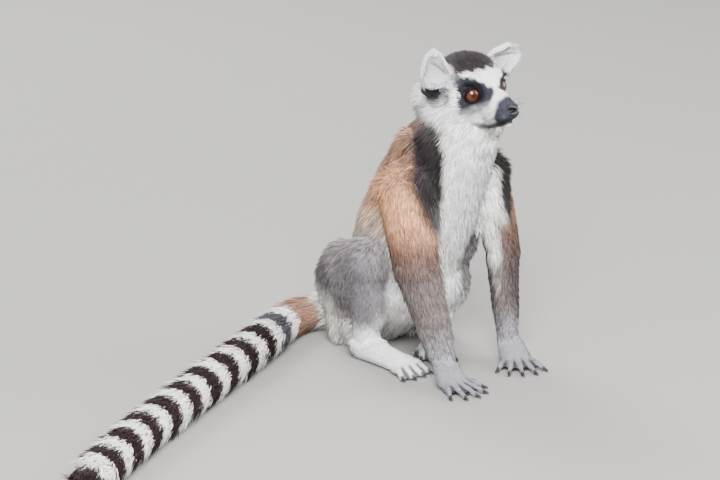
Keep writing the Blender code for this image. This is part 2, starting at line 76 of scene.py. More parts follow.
# Joints of the legs on the animal's left, and how far each side's hand and foot are moved
SHOULDER, ELBOW, WRIST, PALM = (50, 98, 202), (60, 119, 122), (50, 142, 25), (54, 159, 10)
HIP, KNEE, ANKLE, HEEL = (28, -12, 60), (56, 50, 112), (50, 36, 27), (51, 30, 15)
HAND_SHIFT = {"right": (-7, 5, 0), "left": (6, -7, 0)}
HAND_TURN = {"right": 0.0, "left": -30.0}  # degrees about the wrist
FOOT_SHIFT = {"right": (4, 4, 0), "left": (0, 1, 0)}
FOOT_TURN = {"right": 0.0, "left": -40.0}
FINGER_LENGTHS = (21, 28, 30, 30, 26)
TOE_LENGTHS = (27, 30, 31, 28)
EAR_ROOT = (36, -14, 2)
EAR_TIP = {"right": (52, 0, 46), "left": (61, 5, 31)}
EAR_MOUTH = {"right": (0.62, 0.78, 0.0), "left": (-0.25, 0.97, 0.0)}
EAR_TOP = {"right": 38.0, "left": 30.0}  # beyond this much of its length an ear is drawn in
EAR_NARROW = {"right": 0.36, "left": 0.14}  # how much narrower its top is made on the side of the cap
EYE = (18.5, 16.2, -2.0)
EYE_GAZE = (0.5, 0.86, 0.02)
EYE_RADIUS = 8.6
EYE_MAP_WIDTH = 20.0  # how much of an eye, in millimetres, its map looks at
OPENING_TILT = 0.10  # how much the opening between the lids rises towards the nose
NOSE = (0, 55.0, -14.4)
MOUTH_FRONT = (6, 14, 24, 30, 36, 48, 58)
MOUTH_UP = (-28.5, -30.5, -33.5, -34.3, -33.8, -29.5, -24.5)

# The trunk's middle line from the neck to the rump, and its radii
SPINE = (
    (0, 125, 262), (0, 111, 240), (0, 93, 212), (0, 74, 178),
    (0, 52, 136), (0, 36, 93), (0, -5, 53), (0, -38, 40),
)
SPINE_RADII = (40, 45, 51, 57, 61, 61, 53, 36)

# The line that parts the trunk's front from its back, seen from the side
MIDDLE_UP = (40, 93, 136, 178, 212, 240, 262)
MIDDLE_FRONT = (-5, 36, 52, 74, 93, 111, 125)

# The tail: its heading in degrees at shares of its length, 0 to the animal's right and 90 to its front
TAIL_HEADINGS = (
    (0.0, -50), (0.04, -25), (0.09, -2), (0.13, 18), (0.18, 30), (0.4, 28), (0.7, 29), (1.0, 36),
)
TAIL_ROOT = (0.0, -40.0)
TAIL_LENGTH = 590.0
TAIL_RADIUS = 22.0
TAIL_STEPS = 60
TAIL_IN_RUMP = 4  # how many of those steps lie in the rump
FIRST_RING, RING_PITCH = 123.0, 46.0

SHARE_FALL = 9.0  # how sharply the flesh of one bone gives way to that of the next
SWELL = 0.5  # how far the solids are swollen, in millimetres, to close the cuts between them


def on_head(left, front, up):
    """A place given in the head's own frame, in millimetres from the head's middle."""
    return HEAD_FRAME @ (Vector((left, -front, up)) * MM)


def head_way(left, front, up):
    """A direction given in the head's own frame."""
    return (HEAD_FRAME.to_3x3() @ Vector((left, -front, up))).normalized()


def sided(place, side, shift=(0, 0, 0), share=1.0):
    """A joint of the left side, moved by a share of the shift and taken over to this side."""
    left, front, up = (p + s * share for p, s in zip(place, shift))
    return at(left * SIDES[side], front, up)


def arm_joints(side):
    """Wrist, elbow and shoulder."""
    hand = HAND_SHIFT[side]
    return sided(WRIST, side, hand), sided(ELBOW, side, hand, 0.5), sided(SHOULDER, side)


def eye_frame(side):
    """The frame of an eye: Z the way it looks, X towards the nose, Y up."""
    sign = SIDES[side]
    gaze = head_way(EYE_GAZE[0] * sign, EYE_GAZE[1], EYE_GAZE[2])
    up = head_way(0.08 * sign, 0, 1)
    up = (up - gaze * up.dot(gaze)).normalized()
    across = up.cross(gaze) * -sign
    turn = Matrix((across, up, gaze)).transposed().to_4x4()
    return Matrix.Translation(on_head(EYE[0] * sign, EYE[1], EYE[2])) @ turn


def tail_line():
    """Points along the tail's middle, by its heading at each share of its length."""
    shares, degrees = zip(*TAIL_HEADINGS)
    step = TAIL_LENGTH / TAIL_STEPS
    left, front = TAIL_ROOT
    points = []
    for i in range(TAIL_STEPS + 1):
        share = i / TAIL_STEPS
        drop = max(0.0, 1 - share / 0.16) ** 2
        points.append(at(left, front, TAIL_RADIUS - 1 + 8 * drop))
        heading = math.radians(float(np.interp(share, shares, degrees)))
        left -= step * math.cos(heading)
        front += step * math.sin(heading)
    return points


def hand_place(side, outward, forward, up):
    """A place from the palm's middle: outward and forward in the hand's own frame, and up."""
    swing = Matrix.Rotation(math.radians(HAND_TURN[side]) * SIDES[side], 3, "Z")
    wrist = sided(WRIST, side, HAND_SHIFT[side])
    palm = wrist + swing @ (sided(PALM, side, HAND_SHIFT[side]) - wrist)
    return palm + swing @ (Vector((outward * SIDES[side], -forward, up)) * MM)


def foot_place(side, outward, forward, up):
    """A place from the heel: outward and forward in the foot's own frame, up from the sole."""
    swing = Matrix.Rotation(math.radians(FOOT_TURN[side]) * SIDES[side], 3, "Z")
    heel = sided(HEEL, side, FOOT_SHIFT[side])
    place = heel + swing @ (Vector((outward * SIDES[side], -forward, 0)) * MM)
    place.z = (up - DROP) * MM
    return place


def digits(side):
    """Root, heading, length and thickness of each finger and toe of a side."""
    sign = SIDES[side]
    turn = math.radians(HAND_TURN[side])
    found = []
    for i, length in enumerate(FINGER_LENGTHS):
        spread = i / (len(FINGER_LENGTHS) - 1)
        root = hand_place(side, -13 + 26 * spread, 9 - 18 * (spread - 0.5) ** 2, -3)
        found.append((root, sign * (math.radians(-30 + 58 * spread) + turn), length, 4.2))
    turn = math.radians(FOOT_TURN[side])
    for i, length in enumerate(TOE_LENGTHS):
        spread = i / (len(TOE_LENGTHS) - 1)
        heading = sign * (math.radians(-10 + 30 * spread) + turn)
        found.append((foot_place(side, -14 + 22 * spread, 59, 8), heading, length, 4.6))
    found.append((foot_place(side, -13, 40, 9), sign * (math.radians(-18) + turn), 32, 5.6))
    return found


def digit_tip(root, heading, length, thickness):
    """The middle of a digit's pad, and the way the digit points."""
    along = Vector((math.sin(heading), -math.cos(heading), 0))
    tip = root + along * length * MM
    tip.z = (0.8 * thickness - DROP) * MM
    return tip, along


# ---------------------------------------------------------------- bones: what the coat follows


def bones():
    """Each length of body as a line of points and its radii in metres, from its root outwards."""
    tail = tail_line()[TAIL_IN_RUMP::2]
    skull = [on_head(0, front, up) for front, up in ((-16, -10), (14, -10), (34, -14), (56, -15))]
    lines = {
        "trunk": ([at(*place) for place in SPINE], SPINE_RADII),
        "tail": (tail, [TAIL_RADIUS * 0.9] * len(tail)),
        "head": (skull, (42, 32, 18, 9)),
    }
    for side, sign in SIDES.items():
        wrist, elbow, shoulder = arm_joints(side)
        fingers = hand_place(side, 0, 32, -6)
        lines["upper_arm_" + side] = ([shoulder, elbow], (31, 22))
        lines["forearm_" + side] = ([elbow, wrist], (21, 13))
        lines["hand_" + side] = ([wrist, hand_place(side, 0, 0, 0), fingers], (11, 14, 18))
        knee, ankle = sided(KNEE, side), sided(ANKLE, side, FOOT_SHIFT[side])
        middle = sided(HIP, side).lerp(knee, 0.5)
        lines["thigh_" + side] = ([sided(HIP, side), middle, knee], (42, 35, 25))
        lines["shank_" + side] = ([knee, knee.lerp(ankle, 0.5), ankle], (23, 21, 14))
        foot = [foot_place(side, *place) for place in ((0, 4, 13), (-3, 54, 9), (-3, 86, 5))]
        lines["foot_" + side] = (foot, (15, 13, 17))
        ear = [on_head(across * sign, front, up) for across, front, up in (EAR_ROOT, EAR_TIP[side])]
        lines["ear_" + side] = (ear, (15, 15))
    return {
        name: (np.array([list(place) for place in line]), np.array(radii) * MM)
        for name, (line, radii) in lines.items()
    }


def along_bone(points, line, radii):
    """For each point: its distance from the line over the radius there, how far along it is, which way."""
    nearest = np.full(len(points), 1e9)
    where = np.zeros(len(points))
    way = np.zeros((len(points), 3))
    walked = 0.0
    for a, b, radius_a, radius_b in zip(line, line[1:], radii, radii[1:]):
        span = b - a
        length = np.linalg.norm(span)
        share = np.clip((points - a) @ span / length**2, 0, 1)
        gap = np.linalg.norm(points - a - share[:, None] * span, axis=1)
        ratio = gap / (radius_a + (radius_b - radius_a) * share)
        better = ratio < nearest
        nearest[better] = ratio[better]
        where[better] = (walked + share * length)[better]
        way[better] = span / length
        walked += length
    return nearest, where, way


class Survey:
    """What the coat needs to know about points on the skin: whose flesh they are, and where on it."""

    def __init__(self, points):
        self.points = points
        self.mm = points / MM * np.array((1.0, -1.0, 1.0)) + np.array((0.0, 0.0, DROP))
        local = np.array(HEAD_FRAME.inverted())
        self.head_mm = (points @ local[:3, :3].T + local[:3, 3]) / MM * np.array((1.0, -1.0, 1.0))
        self.names = list(BONES)
        found = [along_bone(points, *BONES[name]) for name in self.names]
        ratios = np.array([ratio for ratio, _, _ in found])
        self.where = {name: where for name, (_, where, _) in zip(self.names, found)}
        self.ratio = {name: ratio for name, (ratio, _, _) in zip(self.names, found)}
        shares = np.exp(-SHARE_FALL * (ratios - ratios.min(axis=0)))
        for side in SIDES:
            # The trunk's coat runs on over the shoulders
            name = "upper_arm_" + side
            shares[self.names.index(name)] *= 0.02 + 0.98 * rising(self.where[name] / MM, 2, 55)
        shares /= shares.sum(axis=0)
        self.shares = dict(zip(self.names, shares))
        self.ways = dict(zip(self.names, (way for _, _, way in found)))
        for side in SIDES:
            # On a folded thigh the hair hangs rather than follows the bone
            self.ways["thigh_" + side] = self.ways["thigh_" + side] * 0.2 + np.array((0.0, 0.1, -0.9))

    def share(self, start):
        """How much of each point belongs to the bones whose names begin like this."""
        return sum(self.shares[name] for name in self.names if name.startswith(start))

    def walked(self, start):
        """How far along those bones each point lies, in millimetres."""
        weights = sum(self.shares[n] for n in self.names if n.startswith(start)) + 1e-9
        total = sum(self.shares[n] * self.where[n] for n in self.names if n.startswith(start))
        return total / weights / MM

    def eye_mm(self, side):
        """Places in an eye's own frame, in millimetres."""
        local = np.array(eye_frame(side).inverted())
        return (self.points @ local[:3, :3].T + local[:3, 3]) / MM


def rising(value, low, high):
    """0 below low, 1 above high, and a smooth rise between."""
    share = np.clip((value - low) / (high - low), 0, 1)
    return share * share * (3 - 2 * share)


def waves(points, size, seed=0):
    """Slow smooth variation from -1 to 1 over a few lengths of this size in millimetres."""
    turns = np.random.default_rng(seed).normal(size=(5, 3))
    turns *= math.tau / (size * MM) / np.linalg.norm(turns, axis=1)[:, None]
    return np.mean([np.sin(points @ turn + 1.7 * i) for i, turn in enumerate(turns)], axis=0) * 1.6


# ---------------------------------------------------------------- coat: depth, length, lie, markings


def by_region(survey, values):
    """A quantity given for the beginnings of bones' names, blended where they meet."""
    return sum(survey.share(start) * value for start, value in values.items())


def ear_reach(survey):
    """How far each point lies from the root of its ear to its tip, from 0 to 1."""
    return np.clip(survey.walked("ear") / 50.0, 0, 1)


def on_digits(survey):
    """1 on the fingers and toes, 0 from the knuckles up."""
    hand = survey.share("hand") * rising(survey.walked("hand"), 30, 40)
    foot = survey.share("foot") * rising(survey.walked("foot"), 62, 72)
    return hand + foot


def digit_gaps(survey):
    """For each point, how many millimetres the nearest digit's end and middle line are off, from above."""
    ends = np.full(len(survey.points), 99.0)
    lines = np.full(len(survey.points), 99.0)
    near = survey.mm[:, 2] < 30
    flat = survey.points[near, :2]
    for side in SIDES:
        for root, heading, length, thickness in digits(side):
            tip, along = digit_tip(root, heading, length, thickness)
            tip, along = np.array(tip)[:2], np.array(along)[:2]
            back = np.clip((tip - flat) @ along, 0, length * MM)[:, None]
            lines[near] = np.minimum(lines[near], np.linalg.norm(flat - tip + back * along, axis=1) / MM)
            ends[near] = np.minimum(ends[near], np.linalg.norm(flat - tip, axis=1) / MM)
    return ends, lines


def digit_ends(survey):
    """1 at the naked ends of the fingers and toes, 0 on their furred backs."""
    return 1 - rising(digit_gaps(survey)[0], 2.2, 3.8)


def between_digits(survey):
    """1 in the gaps between fingers and toes, which are sunk and given painted shade, 0 along their middles.
    """
    return rising(digit_gaps(survey)[1], 2.2, 3.6) * on_digits(survey)


def face_forwards(survey):
    """0 at the back of the head and 1 on the face, before the ears and under the cap."""
    _, front, up = survey.head_mm.T
    return rising(front - 0.35 * (up + 5), 2, 16)


def coat_depth(survey):
    """How far the skin lies inside the solids, in millimetres."""
    depth = by_region(survey, {
        "trunk": 7.0, "tail": 9.5, "head": 5.0, "ear": 0.9, "upper_arm": 5.5,
        "hand": 1.2, "thigh": 6.0, "shank": 4.5, "foot": 1.4,
    })
    wrist = rising(survey.walked("forearm"), 40, 95)
    depth += survey.share("forearm") * (4.6 - 2.8 * wrist)
    # The shoulders slope: their tops are taken down
    shoulder = survey.share("upper_arm") + survey.share("trunk")
    shoulder = shoulder * rising(survey.mm[:, 2], 194, 226) * rising(np.abs(survey.mm[:, 0]), 46, 64)
    depth += survey.share("upper_arm") * 1.5 * rising(survey.mm[:, 2], 190, 225) + 9.0 * shoulder
    face = face_forwards(survey)
    muzzle = rising(survey.head_mm[:, 1], 24, 36)
    depth -= survey.share("head") * (2.6 * face + 1.6 * muzzle)
    return depth - 0.5 * on_digits(survey) + 1.6 * between_digits(survey)


def ruff(survey):
    """1 where the cheeks' ruff stands out behind and below the ears."""
    left, front, up = survey.head_mm.T
    behind = rising(-front, 2, 20) * rising(18 - up, 0, 12)
    return survey.share("head") * behind * rising(np.abs(left), 12, 24)


def coat_length(survey):
    """The length of the hairs in millimetres."""
    length = by_region(survey, {
        "trunk": 18.0, "tail": 24.0, "head": 12.0, "ear": 6.0, "upper_arm": 14.0,
        "hand": 5.0, "thigh": 14.0, "shank": 10.5, "foot": 6.0,
    })
    length += survey.share("forearm") * (13.0 - 5.5 * rising(survey.walked("forearm"), 30, 90))
    length += survey.share("upper_arm") * 4.0 * rising(survey.mm[:, 2], 190, 225)
    face = face_forwards(survey)
    muzzle = rising(survey.head_mm[:, 1], 24, 38)
    crown = rising(survey.head_mm[:, 2], 8, 24)
    head = survey.share("head")
    length -= head * (6.0 * face + 3.6 * muzzle + 3.0 * crown * (1 - face))
    low = rising(-survey.head_mm[:, 2], 0, 18)
    length += head * 5.0 * low * (1 - face) + head * 5.0 * ruff(survey)
    length += survey.share("ear") * 1.0 * rising(ear_reach(survey), 0.5, 1.0)
    return np.maximum(length * (1 - 0.6 * on_digits(survey)) * (1 - 0.4 * digit_ends(survey)), 1.6)


def lie_of_coat(survey, normals):
    """The way each hair leans: down each length of body, back over the head, out along the ears."""
    way = sum(survey.shares[name][:, None] * survey.ways[name] for name in survey.names if name != "head")
    nose = np.array(on_head(0, 66, -14))
    back = survey.points - nose
    back /= np.linalg.norm(back, axis=1)[:, None]
    fall = np.array(head_way(0, -0.3, -1.0))
    low = rising(-survey.head_mm[:, 2], 2, 30)[:, None]
    way = way + survey.shares["head"][:, None] * (back + fall * (0.15 + 0.5 * low))
    way = way - normals * np.sum(way * normals, axis=1)[:, None]
    size = np.linalg.norm(way, axis=1)
    # Where the bones point straight out of the skin the hair hangs
    weak = size < 0.05
    hanging = np.array((0.0, 0.2, -1.0))
    way[weak] = hanging - normals[weak] * (normals[weak] @ hanging)[:, None]
    return way / np.linalg.norm(way, axis=1)[:, None]


def linear(code):
    """An sRGB hex colour as linear red, green and blue."""
    parts = [int(code[i : i + 2], 16) / 255 for i in (0, 2, 4)]
    return tuple(p / 12.92 if p <= 0.04045 else ((p + 0.055) / 1.055) ** 2.4 for p in parts)


def plain_colours(code, count):
    """One sRGB hex colour for this many points."""
    return np.tile(np.array(linear(code)), (count, 1))


# Colours of the coat and the bare skin, as sRGB hex
WHITE, CREAM, GREY, PALE_GREY = "F8F6F4", "F2EBE1", "6E6766", "76737A"
BACK, RUST, MANTLE, CHARCOAL, CAP = "8A786D", "C8946F", "6C4838", "282425", "272223"
PATCH, MUZZLE, BLACK, INNER_EAR_GREY_AND_SHADE = "2E2E37", "383942", "060606", "9C9FAA"
TAIL_BASE, TAIL_GREY, TAIL_DARK, TAIL_LIGHT = "7C4C2C", "55545B", "2A1E1E", "F6F3EF"
HAND, FOOT, SKIN = "8C8A91", "EEECEC", "262325"
# The nostrils' two colours are painted light: a painted highlight on the rim and painted shade inside
NOSE_PAD, NOSTRIL_RIM_PAINTED_HIGHLIGHT, NOSTRIL_PAINTED_SHADE, NAIL = "1D1E23", "3A3A42", "030303", "1E1A18"


def layered(colours, *layers):
    """Lays colours over what is there, one after another, each with its weight at each point."""
    for code, weight in layers:
        weight = np.clip(np.broadcast_to(weight, len(colours)), 0, 1)[:, None]
        colours = colours * (1 - weight) + np.array(linear(code)) * weight
    return colours


def tail_colours(survey, fine, ragged):
    """Rust at the root, then white and dark rings to a dark end; the first dark ring is greyer."""
    walked = survey.walked("tail") + TAIL_LENGTH * TAIL_IN_RUMP / TAIL_STEPS + 2.0 * fine
    turns = (walked - FIRST_RING) / RING_PITCH
    dark = rising(np.cos(turns * math.tau), -0.45, 0.0)
    dark = dark * rising(turns, -0.3, -0.25) * (1 - rising(turns, 9.3, 9.35))
    dark = np.maximum(dark, rising(walked, TAIL_LENGTH - 22, TAIL_LENGTH - 17))
    rust = rising(walked + 0.5 * ragged, 46, 56) * (1 - rising(walked + 0.5 * ragged, 84, 94))
    return layered(
        plain_colours(TAIL_LIGHT, len(walked)),
        (TAIL_DARK, dark),
        (TAIL_GREY, 0.8 * dark * (1 - rising(turns, 0.4, 0.6))),
        (CREAM, 1 - rising(walked, 40, 52)),
        (TAIL_BASE, 0.9 * rust),
    )


def eye_patch(survey, side, soft=0.6):
    """How much of each point lies in the dark patch round an eye: a leaning, round-cornered kite."""
    inward, rise, ahead = survey.eye_mm(side).T
    edges = (
        inward + 15.5, 18.5 - rise, 16.4 - 0.55 * inward - 0.84 * rise,
        17.0 - 0.76 * inward + 0.65 * rise, rise + 19.5,
    )
    inside = -np.log(sum(np.exp(-0.45 * edge) for edge in edges)) / 0.45
    return rising(inside + 1.2 * waves(survey.points, 8, 5), -soft, 2.4) * (ahead > -6)


def eye_layers(survey, side):
    """The dark patch round an eye, fainter below it, and the black margin of its lids."""
    inward, rise, ahead = survey.eye_mm(side).T
    mottle = 0.5 + 0.5 * waves(survey.points, 6, 7)
    fade = 1 - (0.25 + 0.35 * mottle) * rising(-rise + 0.3 * inward, 8, 15)
    under = eye_patch(survey, side, 5.0) * rising(-rise, 4, 10) * (0.5 + 0.5 * mottle)
    opening = np.hypot(inward / 7.4, (rise - OPENING_TILT * inward) / 6.8)
    margin = (1 - rising(opening - 0.03 * rise, 1.3, 1.7)) * (ahead > 0)
    return [(PATCH, eye_patch(survey, side) * fade), (PATCH, 0.4 * under), (BLACK, 0.85 * margin)]


def muzzle_layers(survey, ragged):
    """The grey under the cheeks, the dark muzzle, and the line of the mouth with the band over it."""
    left, front, up = survey.head_mm.T
    low_side = rising(front, 26, 36) * rising(np.abs(left), 4, 8) * rising(-up, 14, 20)
    lip = up - mouth_height(front)
    muzzle = rising(front + 0.5 * ragged - 0.15 * (up + 14), 40.0, 44.5) * rising(lip, -1.0, 1.0)
    # The band widens forwards
    wider = 0.1 * np.maximum(front - 15, 0)
    band = rising(lip, -1.0, 0.5) * (1 - rising(lip, 1.0 + wider, 3.5 + wider)) * rising(front, 22, 30)
    lips = (1 - rising(np.abs(lip), 1.4, 2.8)) * rising(front, 12, 20)
    low = rising(-up, 14, 18)
    return [
        (PALE_GREY, 0.4 * low_side),
        (MUZZLE, muzzle),
        (MUZZLE, 0.9 * band * low),
        (BLACK, 0.9 * lips * low),
    ]


def head_colours(survey, colours):
    """The mask: white face, dark cap, eye patches and muzzle, white chin and throat."""
    left, front, up = survey.head_mm.T
    across = np.abs(left)
    head = survey.share("head")[:, None]
    ragged = 1.6 * waves(survey.points, 9, 3)
    cap_edge = 20.5 - 0.13 * across + 0.6 * ragged
    cap = rising(up - cap_edge, -1.5, 1.5)
    temple = rising(5.0 - np.abs(front - 1.5), -1.5, 2.0) * rising(across, 20, 25) * rising(up, 0, 8)
    nape = rising(-front - 10 - 0.5 * np.maximum(-up - 10, 0), -4, 6) * rising(25 - across + 0.5 * up, -2, 4)
    mask = layered(
        plain_colours(WHITE, len(left)),
        (CAP, np.maximum(np.maximum(cap, 0.85 * temple), nape)),
        *eye_layers(survey, "right"),
        *eye_layers(survey, "left"),
        *muzzle_layers(survey, ragged),
    )
    return colours * (1 - head) + mask * head


def mouth_height(front):
    """The height of the mouth's line on the head, in millimetres, by how far forward it is."""
    return np.interp(front, MOUTH_FRONT, MOUTH_UP)


def ear_axes(side):
    """An ear's root, the way to its tip, the way across it, and the way that its cup opens."""
    root, tip = BONES["ear_" + side][0]
    along = (tip - root) / np.linalg.norm(tip - root)
    across, ahead, over = EAR_MOUTH[side]
    mouth = np.array(head_way(across * SIDES[side], ahead, over))
    sideways = np.cross(along, mouth) * SIDES[side]
    return root, along, sideways / np.linalg.norm(sideways), mouth


def ear_rim(survey, normals):
    """1 on the rims of the ears, whose skin faces neither into the cup nor away from it."""
    rims = np.zeros(len(survey.points))
    for side in SIDES:
        mouth = ear_axes(side)[3]
        rims += survey.shares["ear_" + side] * (1 - rising(np.abs(normals @ mouth), 0.3, 0.7))
    return rims * rising(ear_reach(survey), 0.2, 0.5)


def ear_colours(survey, normals, colours):
    """White ears, greyer inside the cup, partly their own grey and partly painted shade deepening towards the
    root, with painted shade along a fold across the cup, and a black tuft low in its mouth.
    """
    reach = ear_reach(survey)
    for side, sign in SIDES.items():
        share = survey.shares["ear_" + side]
        root, _, sideways, mouth = ear_axes(side)
        facing = rising(normals @ mouth, 0.0, 0.5)
        offset = (survey.points - root) @ sideways / MM
        # Painted shade of a fold across the cup, on the side that faces into it
        painted_fold_shade = 1 - rising(np.abs(offset + 4 - 40 * (reach - 0.5)), 1.2, 3.0)
        painted_fold_shade = painted_fold_shade * rising(reach, 0.3, 0.4) * (1 - rising(reach, 0.66, 0.74))
        away, ahead, over = (survey.head_mm - np.array((41 * sign, -12.5, -3.5))).T
        spot = np.hypot(np.hypot(away, ahead) / 18.0, over / 11.0) + 0.25 * waves(survey.points, 6, 9)
        lower = rising(normals @ mouth, -0.6, 0.0) * np.maximum(share, survey.share("head"))
        colours = layered(
            colours,
            (WHITE, share),
            # Inside the cup: its own grey, with painted shade that deepens towards the root
            (INNER_EAR_GREY_AND_SHADE, share * facing * (0.4 + 0.3 * rising(0.55 - reach, 0, 0.3))),
            (CAP, 0.55 * share * facing * painted_fold_shade),
            (BLACK, lower * (1 - rising(spot, 0.85, 1.1))),
        )
    # The cap runs down in a band between each ear and eye
    left, front, up = survey.head_mm.T
    band = rising(5.5 - np.abs(front + 0.5), -1.5, 2.0) * rising(np.abs(left), 18, 24) * rising(up, 3, 10)
    outside = np.minimum(survey.ratio["ear_right"], survey.ratio["ear_left"])
    band = band * rising(outside, 0.93, 1.05) * np.maximum(survey.share("ear"), survey.share("head"))
    return layered(colours, (CAP, 0.75 * band))


def mantle(survey, ragged):
    """Bands from the white chest outwards: how white, how charcoal, how rusty each point is.

    They run along a slanting measure, forwards and inwards, whose edges change with height.
    """
    left, front, up = survey.mm.T
    heights = (120, 150, 174, 200, 240, 262, 273, 283)
    # The measure runs at 50 degrees from straight forwards
    slant = 0.643 * front - 0.766 * np.abs(left) + 0.5 * ragged
    slant = slant + 14.0 * rising(left, -8, 24)
    inner = np.interp(up, heights, (54, 59, 60, 60, 62, 56, 46, 33))
    outer = np.interp(up, heights, (54, 59, 45, 32, 29, 28, 27, 24))
    white = rising(slant - inner, -3, 5)
    charcoal = rising(slant - outer, -11, 6) * (1 - white) * rising(up + ragged, 130, 160)
    rust = (1 - white) * (1 - charcoal) * rising(up + ragged, 114, 178)
    return white, charcoal, rust * (1 - 0.75 * on_top(up, ragged))


def on_top(up, ragged):
    """1 over the tops of the shoulders and the nape, where the brown mantle lies."""
    return rising(up + ragged, 186, 236)


def trunk_colours(survey, plain, ragged, bands):
    """The trunk: brown back, rusty sides, grey and cream rump, white from the throat to the belly."""
    left, _, up = survey.mm.T
    across = np.abs(left)
    white, charcoal, rust = bands
    ahead = trunk_front(survey)
    flank = rising(up, 100, 125) * rising(176 - up, 0, 24) * rising(across, 24, 40)
    throat = white * rising(up, 140, 170) * rising(ahead, -24, -6)
    belly = rising(ahead + 0.3 * ragged, 8, 20) * rising(190 - up, 0, 30) * rising(58 - across, 0, 10)
    # The belly's left edge gets grey painted shade where it turns away beside the far arm, with one darker
    # painted shadow beside the elbow
    edge = rising(left + 0.5 * ragged, 18, 32) * rising(126 - up, 0, 12) * rising(up, 50, 80)
    spot = np.hypot((left - 32) / 9.0, (up - 119) / 8.0)
    return layered(
        plain,
        (BACK, rising(up, 60, 120)),
        (MANTLE, 0.6 * rising(up, 150, 190)),
        (RUST, 0.9 * rust * rising(across, 14, 32)),
        (CREAM, 0.3 * flank),
        (CREAM, 0.85 * rising(70 - up + ragged, 0, 24)),
        (CHARCOAL, charcoal * rising(ahead, -26, -12)),
        (WHITE, np.maximum(belly, throat)),
        (GREY, 0.7 * edge * belly),
        (MUZZLE, 0.8 * (1 - rising(spot, 0.6, 1.1)) * belly),
    )


def arm_colours(survey, plain, ragged, bands):
    """The upper arms, rusty behind the charcoal band, and the grey-brown forearms, both white inside."""
    left, _, up = survey.mm.T
    white, charcoal, rust = bands
    heights = [joint[2] for joint in (WRIST, ELBOW, SHOULDER)]
    bones_out = {side: [abs(place.x) / MM for place in arm_joints(side)] for side in SIDES}
    middle = np.where(left < 0, *(np.interp(up, heights, bones_out[side]) for side in ("right", "left")))
    within = rising(middle - np.abs(left) - np.where(left < 0, 9, 13) + 0.4 * ragged, 0, 6)
    upper_arm = layered(
        plain,
        (MANTLE, np.maximum(0.45 * rising(up, 60, 120), on_top(up, ragged))),
        (RUST, rust),
        (MANTLE, 0.42 * rising(172 - up + ragged, 0, 44)),
        (CAP, 0.32 * rising(176 - up + ragged, 0, 52)),
        (CHARCOAL, charcoal),
        (WHITE, np.maximum(within * rising(170 - up, 0, 30), white * rising(up, 140, 170))),
    )
    forearm = layered(
        plain,
        (HAND, 0.7 * rising(survey.walked("forearm"), 60, 98)),
        (MANTLE, 0.15 * rising(up, 40, 90)),
        # Painted shade: the far, left forearm is darkened
        (CAP, 0.6 * rising(left, 40, 56) * rising(up, 40, 76)),
        (CAP, 0.22 * rising(up + ragged, 90, 124) * (left < 0)),
        (WHITE, 0.9 * within),
    )
    return {"upper_arm": upper_arm, "forearm": forearm}


def leg_colours(survey, plain, ragged, fine):
    """Pale grey haunches, cream behind and white inside, and shanks that whiten down to the feet."""
    left, front, up = survey.mm.T
    across = np.abs(left)
    behind = rising(-front + 0.45 * up - 4 + ragged, 6, 24) * rising(78 - up, 0, 30)
    thigh = layered(
        plain,
        (PALE_GREY, 0.5 + 0.25 * fine),
        (CREAM, 0.9 * behind),
        (WHITE, rising(34 - across + 0.5 * ragged, 0, 10)),
    )
    shank = layered(
        plain,
        (PALE_GREY, 0.8),
        (CREAM, rising(40 - across + 0.4 * ragged, 0, 9)),
        (FOOT, rising(52 - up + ragged, 0, 18)),
    )
    return {"thigh": thigh, "shank": shank}


def coat_colours(survey, normals):
    """The lemur's markings at these points, as linear colours."""
    up = survey.mm[:, 2]
    ragged = 4.0 * waves(survey.points, 26, 1)
    fine = waves(survey.points, 7, 2)
    plain = plain_colours(GREY, len(up))
    bands = mantle(survey, ragged)
    regions = {
        "trunk": trunk_colours(survey, plain, ragged, bands),
        **arm_colours(survey, plain, ragged, bands),
        **leg_colours(survey, plain, ragged, fine),
        "tail": tail_colours(survey, fine, ragged),
        "hand": layered(plain, (HAND, 0.9)),
        "foot": layered(plain, (FOOT, 0.9)),
    }
    colours = sum(survey.share(name)[:, None] * values for name, values in regions.items())
    dark = np.maximum(0.9 * digit_ends(survey), 0.85 * between_digits(survey))
    # The soles and the digits' ends are dark and nearly bare, and the gaps between the digits, also nearly
    # bare, are darkened with painted shade
    colours = layered(colours, (SKIN, np.maximum(dark, 0.7 * (up < 2.0))))
    colours = head_colours(survey, colours)
    return ear_colours(survey, normals, colours)


def trunk_front(survey):
    """How far each point lies in front of the trunk's middle line, in millimetres."""
    _, front, up = survey.mm.T
    return front - np.interp(up, MIDDLE_UP, MIDDLE_FRONT)


# ---------------------------------------------------------------- materials


def add_node(tree, kind, settings=None, links=None):
    """Adds a node, sets its properties and sockets, and links sockets from other nodes' outputs."""
    node = tree.nodes.new(kind)
    for key, value in (settings or {}).items():
        if key in node.inputs:
            node.inputs[key].default_value = value
        else:
            setattr(node, key, value)
    for key, (source, socket) in (links or {}).items():
        tree.links.new(source.outputs[socket], node.inputs[key])
    return node


def new_material(name):
    material = bpy.data.materials.new(name)
    material.use_nodes = True
    return material, material.node_tree, material.node_tree.nodes["Principled BSDF"]


def per_metre(millimetres):
    """A texture's scale for features of about this size."""
    return 1 / (millimetres * MM)


def skin_material():
    """Thin skin, grown under hair: soft and dull, its fine pores in the bump, tinted like its coat."""
    material, tree, shader = new_material("hide_under_the_coat")
    tint = add_node(tree, "ShaderNodeAttribute", {"attribute_name": "coat"})
    place = add_node(tree, "ShaderNodeTexCoord")
    grain = {"Scale": per_metre(1.11), "Detail": 3.0}
    pores = add_node(tree, "ShaderNodeTexNoise", grain, {"Vector": (place, "Object")})
    depth = {"Strength": 0.5, "Distance": 0.6 * MM}
    bump = add_node(tree, "ShaderNodeBump", depth, {"Height": (pores, "Fac")})
    tree.links.new(tint.outputs["Color"], shader.inputs["Base Color"])
    tree.links.new(bump.outputs["Normal"], shader.inputs["Normal"])
    shader.inputs["Roughness"].default_value = 0.75
    shader.inputs["Specular IOR Level"].default_value = 0.3
    return material


